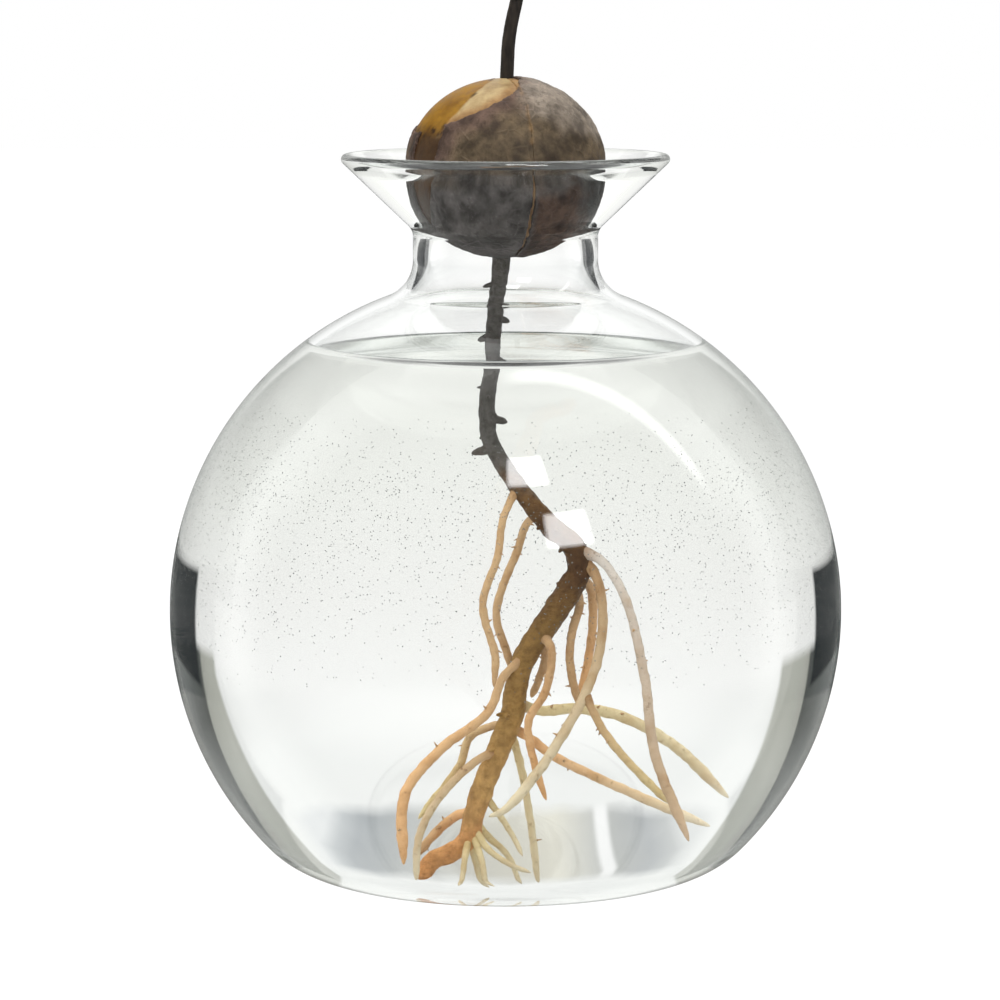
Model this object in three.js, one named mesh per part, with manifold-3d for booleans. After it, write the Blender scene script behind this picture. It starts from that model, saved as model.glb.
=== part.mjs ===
// Hydroponic glass vase with a sprouted avocado stone in its funnel, in millimetres, +Z up.
// The origin is the centre of the foot, on the surface that the vase stands on.

import * as THREE from 'three';
import { mergeVertices } from 'three/addons/utils/BufferGeometryUtils.js';
import Module from 'manifold-3d';

// Vase: one blown piece with a flat-footed bulb, a short neck and a funnel
const BULB_RADIUS = 64;
const BULB_CENTRE_HEIGHT = 49.7;
const WALL = 1.6;
const FLOOR_THICKNESS = 3;
const FOOT_FILLET = 18;
const NECK_RADIUS = 17.5;
const NECK_LENGTH = 4.3;
const SHOULDER_FILLET = 7.5;
const THROAT_FILLET = 3;
const FUNNEL_HEIGHT = 15.6;
const LIP_RADIUS = 31;
const LIP_BEAD_RADIUS = 1.35;
const VASE_SEGMENTS = 36;
const FILLET_STEPS = 3;
const BALL_STEPS = 6;
const BEAD_STEPS = 5;

// Water: fills the bulb up to an air space under the neck, and climbs the glass a little
const AIR_SPACE = 19.4;
const MENISCUS_HEIGHT = 3.1;
const MENISCUS_WIDTH = 6;
const MENISCUS_STEPS = 4;
const MENISCUS_POWER = 3;

// Clearance between neighbouring pieces
const GAP = 0.3;

// Stone: wider than the neck's bore, so that it seats in the throat of the funnel. Its coat is split
// along a crack, and has peeled off two places that are given by azimuth and by height on the stone.
const STONE_OVERHANG = 3.2;
const STONE_HEIGHT = 34.5;
const STONE_TOP_POWER = 2;
const STONE_BOTTOM_POWER = 2.3;
const STONE_SEGMENTS = 24;
const STONE_RINGS = 12;
const SLICE_SEGMENTS = 4;
const COAT_THICKNESS = 0.6;
const CRACK_WIDTH = 0.9;
const CRACK_AZIMUTH = 16;
const BARE_CROWN = { from: 176, to: 232, low: 8, high: 20 };
const BARE_STRIP = { from: 204, to: 226, low: -9, high: 9 };
const EMBRYO_RADIUS = 2.9;
const EMBRYO_LENGTH = 9;
const EMBRYO_HEIGHT = 11;
const EMBRYO_RINGS = [-0.8, -0.45, 0, 0.45, 0.8];

// Shoot: a thin stem with scale leaves under its bud. Its bends are the share of its length above the
// stone and the share of its lean at that height.
const SHOOT_DIAMETER = 2.8;
const SHOOT_TIP_DIAMETER = 2.2;
const SHOOT_LENGTH = 30;
const SHOOT_LEAN = 5.4;
const SHOOT_BENDS = [[0, 0.05], [0.25, 0.14], [0.52, 0.45], [1, 1]];
const SHOOT_SIDES = 8;
const SHOOT_STEPS = 12;
const BUD_LENGTH = 6;
const BUD_RADIUS = 1.5;
const BUD_RINGS = [0.12, 0.35, 0.65, 0.9];
const BUD_FULLNESS = 0.7;
const BUD_SEGMENTS = 10;
const SCALE_LEAF_COUNT = 3;
const SCALE_LEAF_LENGTH = 7;
const SCALE_LEAF_WIDTH = 2.6;
const SCALE_LEAF_THICKNESS = 0.6;
const SCALE_LEAF_TILT = 24;
const SCALE_LEAF_PITCH = 4;
const SCALE_LEAF_TOP = 2;
const SCALE_LEAF_BELLY = 0.4;
const SCALE_LEAF_FULLNESS = 0.75;
const SCALE_LEAF_SEGMENTS = 6;

// Roots. The girths are shares of a root's diameter at even steps along it.
const TAPROOT_DIAMETER = 3.7;
const TAPROOT_GIRTHS = [0.97, 0.84, 0.73, 0.65, 0.65, 0.84, 1, 0.89, 0.92, 0.81, 0.65];
const TAPROOT_SIDES = 8;
const TAPROOT_STEPS = 32;
const STUB_LENGTH = 3.2;
const STUB_SLOPE = -0.35;
const STUB_DIAMETER = 1.8;
const STUB_GIRTHS = [1, 0.5];
const STUB_STEPS = 2;
const LATERAL_DIAMETER = 1.2;
const LATERAL_SIDES = 6;
const LATERAL_STEPS = 8;
const FINE_DIAMETER = 1.1;
const FINE_GIRTHS = [1, 0.55];
const FINE_SIDES = 5;
const FINE_STEPS = 4;

// The root that reaches out the most ends this far from the axis
const ROOT_SPREAD = 33;

// Routes of the roots. Each point is x and y, which the spread scales, then the depth as a share of
// the way down from the underside of the stone to the floor of the vase.
const TAPROOT_ROUTE = [
  [-0.8, 0, 0], [-1.6, 0.3, 0.07], [-2.4, 0.6, 0.145], [-2.1, 0.8, 0.27], [-2.7, 0.5, 0.32],
  [-2.3, 0, 0.37], [-0.8, -0.5, 0.395], [1.8, -1, 0.43], [6.4, -1.5, 0.48], [9.6, -1.2, 0.505],
  [10.7, -0.6, 0.535], [7.4, 0, 0.59], [3.6, 0.5, 0.64], [1.9, 0.6, 0.67], [1.1, 0.6, 0.72],
  [-0.6, 0.4, 0.76], [-2.5, 0.4, 0.8], [-4.3, 0.8, 0.845], [-5.4, 1.2, 0.88], [-7.6, 1.6, 0.896],
  [-10.2, 2, 0.906], [-12.2, 2.2, 0.934],
];

// Depth and compass angle of the short stubs of side roots on the taproot
const STUBS = [[0.04, 200], [0.1, 30], [0.13, 160], [0.17, 345], [0.34, 20], [0.38, 170]];

// Side roots: the depth where each leaves the taproot or another side root, its girth at both ends
// and the points that it passes
const LATERALS = [
  { leaves: 0.43, girths: [0.9, 1], route: [
    [-0.4, -3.2, 0.47], [-1.1, -3.8, 0.515], [-3.3, -3.8, 0.58], [-1.5, -4, 0.646], [-1.7, -4.7, 0.684],
  ] },
  { leaves: 0.465, girths: [0.9, 1], route: [
    [3, 2, 0.485], [1.9, 2.9, 0.515], [-1.3, 3.3, 0.6], [0.2, 3.6, 0.65], [1.2, 3.8, 0.68],
  ] },
  { leaves: 0.52, girths: [1.15, 1.25], route: [
    [13, -1.4, 0.545], [14, -1.8, 0.59], [13, -2.2, 0.66], [7.6, -3.4, 0.755], [0, -5, 0.84],
    [-2.4, -4.8, 0.85],
  ] },
  { leaves: 0.545, girths: [1.1, 1], route: [
    [12, 2.2, 0.565], [12.4, 3.2, 0.605], [11.4, 4, 0.67], [10.2, 4.2, 0.71],
  ] },
  { leaves: 0.555, girths: [1, 1], route: [
    [10.6, 1.2, 0.585], [9.4, 0.6, 0.625], [9.2, 0.4, 0.66], [10.4, 0.6, 0.715],
  ] },
  { leaves: 0.51, girths: [1.1, 1.35], route: [
    [14, -2.4, 0.525], [17.6, -5.5, 0.57], [20.4, -7, 0.67], [22, -7.6, 0.77], [27.6, -8, 0.89],
  ] },
  { leaves: 0.71, girths: [1.25, 1.25], route: [
    [5.4, 6, 0.725], [9, 9, 0.725], [15, 12, 0.735], [22, 14.6, 0.77], [28.8, 16, 0.83],
  ] },
  { leaves: 0.74, girths: [1.1, 1.1], route: [
    [2.6, 2, 0.75], [6.8, 3, 0.778], [11.6, 4, 0.8], [20, 5.6, 0.834], [28, 7, 0.865],
  ] },
  { leaves: 0.694, parent: 3, girths: [1, 1], route: [
    [13.9, -2.4, 0.74], [16.9, -2.4, 0.775], [23.5, -2.4, 0.835],
  ] },
  { leaves: 0.62, girths: [1.1, 0.9], route: [
    [6.6, -2.4, 0.64], [5.8, -3, 0.69], [3.3, -3.2, 0.73], [4.2, -2.4, 0.785], [5.8, -1.8, 0.83],
  ] },
  { leaves: 0.63, girths: [1, 0.9], route: [
    [5.6, 2.6, 0.655], [4.6, 3.4, 0.685], [3.6, 3.5, 0.706],
  ] },
  { leaves: 0.65, girths: [1, 1.4], route: [
    [-0.4, -1.9, 0.676], [-2.4, -3.4, 0.716], [-9.6, -5.6, 0.765], [-14.6, -6.6, 0.82], [-15, -7, 0.915],
  ] },
  { leaves: 0.735, girths: [1, 0.9], route: [
    [-2.4, 2.6, 0.742], [-5, 3.6, 0.755], [-6.4, 4.2, 0.79], [-12, 5.2, 0.855],
  ] },
  { leaves: 0.77, girths: [1, 0.9], route: [
    [-3.8, -2.2, 0.778], [-9.4, -3.6, 0.825], [-12.4, -4, 0.875], [-13, -4.4, 0.94],
  ] },
  { leaves: 0.845, girths: [1.15, 1], route: [
    [-6.6, 3, 0.85], [-8.6, 4.6, 0.863], [-10.8, 5.6, 0.884], [-11.9, 6, 0.898],
  ] },
  { leaves: 0.715, girths: [1, 0.8], route: [
    [0.6, 4.6, 0.74], [2, 7.4, 0.79], [3.4, 9, 0.86], [4.4, 9.4, 0.935],
  ] },
];

// Fine roots in a fan at the foot of the taproot
const FINE_ROOTS = [
  { leaves: 0.86, route: [[-2.6, -0.6, 0.89], [0.4, -1.4, 0.91], [3.6, -2, 0.922]] },
  { leaves: 0.868, route: [[-3.4, -1.2, 0.905], [-2.6, -2.2, 0.94], [-1.6, -2.6, 0.95]] },
  { leaves: 0.872, route: [[-4.2, 3.6, 0.905], [-3, 5, 0.94], [-2.2, 5.6, 0.95]] },
  { leaves: 0.876, route: [[-5.8, -1.6, 0.905], [-6.4, -3, 0.94], [-6.8, -3.8, 0.95]] },
  { leaves: 0.854, route: [[-2.4, 2.6, 0.876], [0.4, 4, 0.9], [2.2, 4.8, 0.94]] },
  { leaves: 0.82, route: [[-1.2, 1.6, 0.845], [1, 2, 0.875], [2.4, 1.4, 0.9]] },
];

const wasm = await Module();
wasm.setup();

const group = new THREE.Group();
const AXIS = new THREE.Vector3(0, 0, 1);
const MERGE_DISTANCE = 1e-4;
const CUTTER_SIZE = 400;
const CURVE_SAMPLES = 400;

// A closed three.js geometry as a solid, without the flat triangles of a pole
function solidOf(geometry) {
  const bare = geometry.clone();
  bare.deleteAttribute('normal');
  bare.deleteAttribute('uv');
  const merged = mergeVertices(bare, MERGE_DISTANCE);
  const index = merged.index.array;
  const triangles = [];
  for (let i = 0; i < index.length; i += 3) {
    const [a, b, c] = [index[i], index[i + 1], index[i + 2]];
    if (a !== b && b !== c && c !== a) triangles.push(a, b, c);
  }
  const vertProperties = new Float32Array(merged.attributes.position.array);
  const triVerts = new Uint32Array(triangles);
  return new wasm.Manifold(new wasm.Mesh({ numProp: 3, vertProperties, triVerts }));
}

// A solid as a three.js geometry
function geometryOf(solid) {
  const mesh = solid.getMesh();
  const geometry = new THREE.BufferGeometry();
  geometry.setAttribute('position', new THREE.BufferAttribute(mesh.vertProperties, 3));
  geometry.setIndex(new THREE.BufferAttribute(mesh.triVerts, 1));
  geometry.computeVertexNormals();
  return geometry;
}

function material(color, roughness, extra = {}) {
  return new THREE.MeshStandardMaterial({ color, roughness, metalness: 0, ...extra });
}

function addPiece(name, solid, pieceMaterial) {
  const mesh = new THREE.Mesh(geometryOf(solid), pieceMaterial);
  mesh.name = name;
  group.add(mesh);
}

// A profile of radius and height points, turned about the Z axis
function revolve(points, segments) {
  const geometry = new THREE.LatheGeometry(points, segments);
  geometry.rotateX(Math.PI / 2);
  return solidOf(geometry);
}

function point(radius, height) {
  return new THREE.Vector2(Math.max(radius, 0), height);
}

// Points of a round stretch of a profile, both ends included, angles in radians
function arc(radius, height, size, from, to, steps) {
  const points = [];
  for (let i = 0; i <= steps; i += 1) {
    const angle = from + ((to - from) * i) / steps;
    points.push(point(radius + size * Math.cos(angle), height + size * Math.sin(angle)));
  }
  return points;
}

// A round tube of changing thickness along a curve, closed by a blunt cone at each end
function taperedTube(curve, radiusAt, sides, steps, grow) {
  const frames = curve.computeFrenetFrames(steps);
  const rings = [];
  for (let i = 0; i <= steps; i += 1) {
    const centre = curve.getPointAt(i / steps);
    const radius = radiusAt(i / steps) + grow;
    for (let k = 0; k < sides; k += 1) {
      const angle = (2 * Math.PI * k) / sides;
      const spoke = frames.normals[i].clone().multiplyScalar(radius * Math.cos(angle));
      spoke.addScaledVector(frames.binormals[i], radius * Math.sin(angle));
      rings.push(centre.clone().add(spoke));
    }
  }
  const start = curve.getPointAt(0).addScaledVector(frames.tangents[0], -radiusAt(0) / 2 - grow);
  const end = curve.getPointAt(1).addScaledVector(frames.tangents[steps], radiusAt(1) + 2 * grow);
  const positions = [...rings, start, end].flatMap((p) => [p.x, p.y, p.z]);
  const startIndex = rings.length;
  const endIndex = startIndex + 1;
  const lastRing = steps * sides;
  const index = [];
  for (let k = 0; k < sides; k += 1) {
    const next = (k + 1) % sides;
    index.push(startIndex, next, k);
    index.push(endIndex, lastRing + k, lastRing + next);
    for (let i = 0; i < steps; i += 1) {
      const low = i * sides;
      const high = low + sides;
      index.push(low + k, low + next, high + next);
      index.push(low + k, high + next, high + k);
    }
  }
  const geometry = new THREE.BufferGeometry();
  geometry.setAttribute('position', new THREE.Float32BufferAttribute(positions, 3));
  geometry.setIndex(index);
  return solidOf(geometry);
}

// Everything on one side of a plane that stands on the Z axis at an azimuth, a distance away from it
function sideOf(azimuth, side, distance) {
  const box = new THREE.BoxGeometry(CUTTER_SIZE, CUTTER_SIZE, CUTTER_SIZE);
  box.translate(side * (CUTTER_SIZE / 2 + distance), 0, 0);
  box.rotateZ(THREE.MathUtils.degToRad(azimuth));
  return solidOf(box);
}

// Heights and radii that the pieces share
const neckBore = NECK_RADIUS - WALL;
const shoulderRadius = NECK_RADIUS + SHOULDER_FILLET;
const shoulderRise = Math.sqrt((BULB_RADIUS + SHOULDER_FILLET) ** 2 - shoulderRadius ** 2);
const shoulderHeight = BULB_CENTRE_HEIGHT + shoulderRise;
const shoulderAngle = Math.atan2(shoulderRise, shoulderRadius);
const throatRadius = NECK_RADIUS + THROAT_FILLET;
const throatHeight = shoulderHeight + NECK_LENGTH;
const lipHeight = throatHeight + FUNNEL_HEIGHT;
const waterHeight = shoulderHeight - AIR_SPACE;

const stoneRadius = neckBore + STONE_OVERHANG;
const stoneHalfHeight = STONE_HEIGHT / 2;
const seatRound = THROAT_FILLET + WALL + GAP;
const seatShare = (throatRadius / (stoneRadius + seatRound)) ** STONE_BOTTOM_POWER;
const stoneAboveThroat = (stoneHalfHeight + seatRound) * (1 - seatShare) ** (1 / STONE_BOTTOM_POWER);
const stoneCentre = throatHeight + stoneAboveThroat;
const stoneBottom = stoneCentre - stoneHalfHeight;
const stoneTop = stoneCentre + stoneHalfHeight;
const embryoCentre = stoneBottom + EMBRYO_HEIGHT;
const embryoBottom = embryoCentre - EMBRYO_LENGTH / 2;
const embryoTop = embryoCentre + EMBRYO_LENGTH / 2;

// Profile of the bulb from the floor on the axis up to where the sphere meets the shoulder
function bulbProfile(inset, floorHeight) {
  const fillet = FOOT_FILLET - inset;
  const ballRadius = BULB_RADIUS - inset;
  const footHeight = floorHeight + fillet;
  const drop = BULB_CENTRE_HEIGHT - footHeight;
  const footRadius = Math.sqrt((ballRadius - fillet) ** 2 - drop ** 2);
  const footAngle = Math.atan2(-drop, footRadius);
  return [
    point(0, floorHeight),
    ...arc(footRadius, footHeight, fillet, -Math.PI / 2, footAngle, FILLET_STEPS),
    ...arc(0, BULB_CENTRE_HEIGHT, ballRadius, footAngle, 0, FILLET_STEPS).slice(1),
    ...arc(0, BULB_CENTRE_HEIGHT, ballRadius, 0, shoulderAngle, BALL_STEPS).slice(1),
  ];
}

// Profile of the shoulder, the neck and the funnel, from the bulb up to the lip
function neckProfile(inset, bend) {
  const shoulder = SHOULDER_FILLET + inset;
  const throat = THROAT_FILLET + inset;
  const turn = Math.PI + shoulderAngle;
  return [
    ...arc(shoulderRadius, shoulderHeight, shoulder, turn, Math.PI, FILLET_STEPS).slice(1),
    ...arc(throatRadius, throatHeight, throat, Math.PI, Math.PI - bend, FILLET_STEPS),
  ];
}

// Angle from the vertical of a funnel that leaves the throat smoothly and runs into the lip
function funnelBend(lipCentre) {
  const dx = lipCentre.x - throatRadius;
  const dz = lipCentre.y - throatHeight;
  const middle = THROAT_FILLET + WALL / 2;
  return Math.PI - Math.atan2(dz, dx) - Math.acos(middle / Math.hypot(dx, dz));
}

function glassVase() {
  const lip = point(LIP_RADIUS - LIP_BEAD_RADIUS, lipHeight - LIP_BEAD_RADIUS);
  const bend = funnelBend(lip);
  const outside = [...bulbProfile(0, 0), ...neckProfile(0, bend)];
  const inside = [...bulbProfile(WALL, FLOOR_THICKNESS), ...neckProfile(WALL, bend)];
  const bead = arc(lip.x, lip.y, LIP_BEAD_RADIUS, -bend, Math.PI - bend, BEAD_STEPS);
  return revolve([...outside, ...bead, ...inside.reverse()], VASE_SEGMENTS);
}

// The lower stretch of a rising profile, ended at a height
function upTo(height, profile) {
  const above = profile.findIndex((p) => p.y > height);
  const [low, high] = [profile[above - 1], profile[above]];
  const share = (height - low.y) / (high.y - low.y);
  return [...profile.slice(0, above), low.clone().lerp(high, share)];
}

// Water in the shape of the vase's inside, before the roots displace it
function stillWater() {
  const wetWall = bulbProfile(WALL + GAP, FLOOR_THICKNESS + GAP);
  const wetted = upTo(waterHeight + MENISCUS_HEIGHT, wetWall);
  const brink = wetted.at(-1).x;
  const curl = [];
  for (let i = 1; i <= MENISCUS_STEPS; i += 1) {
    const share = i / MENISCUS_STEPS;
    const height = waterHeight + MENISCUS_HEIGHT * (1 - share) ** MENISCUS_POWER;
    curl.push(point(brink - MENISCUS_WIDTH * share, height));
  }
  return revolve([...wetted, ...curl, point(0, waterHeight)], VASE_SEGMENTS);
}

// Stone: an egg of revolution, blunter below than above
function stoneProfile(inset) {
  const points = [];
  for (let i = 0; i <= STONE_RINGS; i += 1) {
    const angle = -Math.PI / 2 + (Math.PI * i) / STONE_RINGS;
    const power = 2 / (angle < 0 ? STONE_BOTTOM_POWER : STONE_TOP_POWER);
    const radius = (stoneRadius - inset) * Math.max(Math.cos(angle), 0) ** power;
    const height = (stoneHalfHeight - inset) * Math.sign(angle) * Math.abs(Math.sin(angle)) ** power;
    const onAxis = i === 0 || i === STONE_RINGS;
    points.push(point(onAxis ? 0 : radius, stoneCentre + height));
  }
  return points;
}

// A place where the seed coat has peeled off: a slice of the stone between two azimuths and two heights
function bareSlice({ from, to, low, high }) {
  const [first, last] = [from, to].map(THREE.MathUtils.degToRad);
  const reach = 2 * stoneRadius;
  const shape = new THREE.Shape();
  shape.moveTo(0, 0);
  shape.lineTo(reach * Math.cos(first), reach * Math.sin(first));
  shape.absarc(0, 0, reach, first, last, false);
  shape.lineTo(0, 0);
  const options = { depth: high - low, bevelEnabled: false, curveSegments: SLICE_SEGMENTS };
  const slice = new THREE.ExtrudeGeometry(shape, options);
  return solidOf(slice.translate(0, 0, stoneCentre + low));
}

function embryo(grow) {
  const half = EMBRYO_LENGTH / 2 + grow;
  const radius = EMBRYO_RADIUS + grow;
  const profile = [point(0, embryoCentre - half)];
  for (const share of EMBRYO_RINGS) {
    profile.push(point(radius * Math.sqrt(1 - share ** 2), embryoCentre + half * share));
  }
  profile.push(point(0, embryoCentre + half));
  return revolve(profile, STONE_SEGMENTS / 2);
}

// Curves of the shoot and the roots
function curveThrough(points) {
  return new THREE.CatmullRomCurve3(points, false, 'centripetal');
}

const routes = [TAPROOT_ROUTE, ...[...LATERALS, ...FINE_ROOTS].map((root) => root.route)];
const routeReach = Math.max(...routes.flat().map(([x, y]) => Math.hypot(x, y)));
const routeScale = ROOT_SPREAD / routeReach;
function rootPoint([x, y, depth]) {
  const height = stoneBottom - (stoneBottom - FLOOR_THICKNESS) * depth;
  return new THREE.Vector3(x * routeScale, y * routeScale, height);
}

function pointAtDepth(curve, depth) {
  const height = rootPoint([0, 0, depth]).z;
  const samples = curve.getSpacedPoints(CURVE_SAMPLES);
  return samples.reduce((best, p) => (Math.abs(p.z - height) < Math.abs(best.z - height) ? p : best));
}

// Radius along a tube whose girths are shares of its diameter at even steps
function taper(diameter, girths) {
  return (share) => {
    const place = share * (girths.length - 1);
    const low = Math.min(Math.floor(place), girths.length - 2);
    return (diameter / 2) * THREE.MathUtils.lerp(girths[low], girths[low + 1], place - low);
  };
}

const shootStart = embryoTop + GAP + SHOOT_DIAMETER / 2;
const shootCurve = curveThrough([
  new THREE.Vector3(0, 0, shootStart),
  ...SHOOT_BENDS.map(([rise, lean]) => (
    new THREE.Vector3(SHOOT_LEAN * lean, 0, stoneTop + SHOOT_LENGTH * rise)
  )),
]);

function shoot(grow) {
  const radiusAt = taper(SHOOT_DIAMETER, [1, SHOOT_TIP_DIAMETER / SHOOT_DIAMETER]);
  return taperedTube(shootCurve, radiusAt, SHOOT_SIDES, SHOOT_STEPS, grow);
}

const taprootStart = new THREE.Vector3(0, 0, embryoBottom - GAP - TAPROOT_DIAMETER / 2);
const taprootCurve = curveThrough([taprootStart, ...TAPROOT_ROUTE.map(rootPoint)]);

function taprootTube(grow) {
  const radiusAt = taper(TAPROOT_DIAMETER, TAPROOT_GIRTHS);
  return taperedTube(taprootCurve, radiusAt, TAPROOT_SIDES, TAPROOT_STEPS, grow);
}

// Short stubs where side roots have died back
function stub([depth, compass], grow) {
  const start = pointAtDepth(taprootCurve, depth);
  const angle = THREE.MathUtils.degToRad(compass);
  const reach = new THREE.Vector3(Math.cos(angle), Math.sin(angle), STUB_SLOPE);
  const curve = curveThrough([start, start.clone().addScaledVector(reach, STUB_LENGTH)]);
  return taperedTube(curve, taper(STUB_DIAMETER, STUB_GIRTHS), FINE_SIDES, STUB_STEPS, grow);
}

function taproot(grow) {
  return STUBS.reduce((root, place) => root.add(stub(place, grow)), taprootTube(grow));
}

function lateralCurve(parentCurve, { leaves, route }) {
  return curveThrough([pointAtDepth(parentCurve, leaves), ...route.map(rootPoint)]);
}

const lateralCurves = [];
for (const root of LATERALS) {
  const parent = root.parent ? lateralCurves[root.parent - 1] : taprootCurve;
  lateralCurves.push(lateralCurve(parent, root));
}
const fineCurves = FINE_ROOTS.map((root) => lateralCurve(taprootCurve, root));

function lateral(i, grow) {
  const radiusAt = taper(LATERAL_DIAMETER, LATERALS[i].girths);
  return taperedTube(lateralCurves[i], radiusAt, LATERAL_SIDES, LATERAL_STEPS, grow);
}

function fineRoot(i, grow) {
  return taperedTube(fineCurves[i], taper(FINE_DIAMETER, FINE_GIRTHS), FINE_SIDES, FINE_STEPS, grow);
}

// Materials
const glass = material('#f2f6f6', 0.03, { transparent: true, opacity: 0.35 });
const waterLook = material('#e9eeec', 0.02, { transparent: true, opacity: 0.5 });
const cotyledonLook = material('#dcb676', 0.6);
const coatLook = material('#6a5b4c', 0.8);
const darkCoatLook = material('#54402f', 0.75);
const embryoLook = material('#e3d2a0', 0.6);
const stemLook = material('#1f1a17', 0.6);
const budLook = material('#3c3a22', 0.6);
const taprootLook = material('#8a6a45', 0.75);
const rootLook = material('#c79f6c', 0.7);
const fineLook = material('#e0cba4', 0.7);

// The vessel and its water
addPiece('glass_vase', glassVase(), glass);

const taprootHole = taproot(GAP);
const lateralHoles = LATERALS.map((root, i) => lateral(i, GAP));
const fineHoles = FINE_ROOTS.map((root, i) => fineRoot(i, GAP));
const rootHoles = [taprootHole, ...lateralHoles, ...fineHoles];
addPiece('water', rootHoles.reduce((rest, hole) => rest.subtract(hole), stillWater()), waterLook);

// The stone, split along its crack
const channel = embryo(GAP).add(shoot(GAP)).add(taprootHole);
const kernel = revolve(stoneProfile(COAT_THICKNESS + GAP), STONE_SEGMENTS).subtract(channel);
const coatShell = revolve(stoneProfile(0), STONE_SEGMENTS)
  .subtract(revolve(stoneProfile(COAT_THICKNESS), STONE_SEGMENTS))
  .subtract(shoot(GAP).add(taprootHole));
const peeled = bareSlice(BARE_CROWN).add(bareSlice(BARE_STRIP));
const halves = [['left', -1, coatLook], ['right', 1, darkCoatLook]];
for (const [name, side, look] of halves) {
  const half = sideOf(CRACK_AZIMUTH, side, GAP / 2);
  const coatHalf = sideOf(CRACK_AZIMUTH, side, CRACK_WIDTH / 2);
  const coat = coatShell.intersect(coatHalf);
  addPiece(`cotyledon_${name}`, kernel.intersect(half), cotyledonLook);
  addPiece(`seed_coat_${name}`, side < 0 ? coat.subtract(peeled) : coat, look);
}
addPiece('embryo_axis', embryo(0), embryoLook);

// The shoot, its bud and its scale leaves
addPiece('shoot_stem', shoot(0), stemLook);

function bud() {
  const profile = [point(0, 0)];
  for (const share of BUD_RINGS) {
    profile.push(point(BUD_RADIUS * Math.sin(Math.PI * share ** BUD_FULLNESS), BUD_LENGTH * share));
  }
  profile.push(point(0, BUD_LENGTH));
  return new THREE.LatheGeometry(profile, BUD_SEGMENTS).rotateX(Math.PI / 2);
}

function scaleLeaf() {
  const belly = SCALE_LEAF_WIDTH * SCALE_LEAF_FULLNESS;
  const bellyHeight = SCALE_LEAF_LENGTH * SCALE_LEAF_BELLY;
  const shape = new THREE.Shape();
  shape.moveTo(0, 0);
  shape.quadraticCurveTo(belly, bellyHeight, 0, SCALE_LEAF_LENGTH);
  shape.quadraticCurveTo(-belly, bellyHeight, 0, 0);
  const options = {
    depth: SCALE_LEAF_THICKNESS, bevelEnabled: false, curveSegments: SCALE_LEAF_SEGMENTS,
  };
  return new THREE.ExtrudeGeometry(shape, options).rotateX(Math.PI / 2);
}

const tip = shootCurve.getPointAt(1);
const tipDirection = shootCurve.getTangentAt(1);
const upright = new THREE.Quaternion().setFromUnitVectors(AXIS, tipDirection);
const budSeat = tip.clone().addScaledVector(tipDirection, SHOOT_TIP_DIAMETER / 2 + GAP);
addPiece('apical_bud', solidOf(bud().applyQuaternion(upright).translate(...budSeat)), budLook);

for (let i = 0; i < SCALE_LEAF_COUNT; i += 1) {
  const seat = tip.clone().addScaledVector(tipDirection, -SCALE_LEAF_TOP - SCALE_LEAF_PITCH * i);
  const leaf = scaleLeaf();
  leaf.rotateX(THREE.MathUtils.degToRad(SCALE_LEAF_TILT));
  leaf.translate(0, -SHOOT_TIP_DIAMETER / 2, 0);
  leaf.rotateZ((2 * Math.PI * i) / SCALE_LEAF_COUNT);
  leaf.applyQuaternion(upright).translate(...seat);
  addPiece(`scale_leaf_${i + 1}`, solidOf(leaf).subtract(shoot(GAP)), budLook);
}

// The roots, each cut back from the root that it leaves
addPiece('taproot', taproot(0), taprootLook);

const two = (number) => String(number).padStart(2, '0');
LATERALS.forEach(({ parent }, i) => {
  const seat = parent ? lateralHoles[parent - 1] : taprootHole;
  addPiece(`lateral_root_${two(i + 1)}`, lateral(i, 0).subtract(seat), rootLook);
});
FINE_ROOTS.forEach((root, i) => {
  addPiece(`fine_root_${i + 1}`, fineRoot(i, 0).subtract(taprootHole), fineLook);
});

export default group;
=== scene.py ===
"""Looks of a round glass vase that holds an avocado stone over water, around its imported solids."""

import random
from functools import partialmethod
from math import acos, atan2, copysign, cos, degrees, hypot, pi, radians, sin, sqrt

import bpy
from mathutils import Matrix, Quaternion, Vector, noise


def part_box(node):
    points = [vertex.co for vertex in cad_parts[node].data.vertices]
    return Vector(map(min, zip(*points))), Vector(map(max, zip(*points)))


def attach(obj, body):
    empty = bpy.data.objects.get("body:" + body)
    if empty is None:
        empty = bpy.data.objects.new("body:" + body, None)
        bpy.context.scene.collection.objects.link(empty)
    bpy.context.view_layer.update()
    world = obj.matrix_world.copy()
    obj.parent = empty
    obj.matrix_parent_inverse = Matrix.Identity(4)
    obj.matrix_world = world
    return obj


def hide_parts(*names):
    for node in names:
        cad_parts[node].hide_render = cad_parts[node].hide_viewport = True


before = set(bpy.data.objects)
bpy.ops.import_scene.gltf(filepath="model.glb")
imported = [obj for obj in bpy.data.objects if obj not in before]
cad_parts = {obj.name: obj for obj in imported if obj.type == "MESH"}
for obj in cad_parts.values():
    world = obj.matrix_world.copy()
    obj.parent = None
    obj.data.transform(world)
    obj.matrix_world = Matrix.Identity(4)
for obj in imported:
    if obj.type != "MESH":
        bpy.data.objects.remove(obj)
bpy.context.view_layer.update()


def rgb(red, green, blue):
    """A colour of the screen, 0 to 255, as the linear colour of a shader."""

    def channel(value):
        share = value / 255
        return share / 12.92 if share <= 0.04045 else ((share + 0.055) / 1.055) ** 2.4

    return (channel(red), channel(green), channel(blue), 1.0)


# All sizes are in millimetres and angles in degrees, as in the solids. MM turns them into metres.
MM = 0.001

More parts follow.
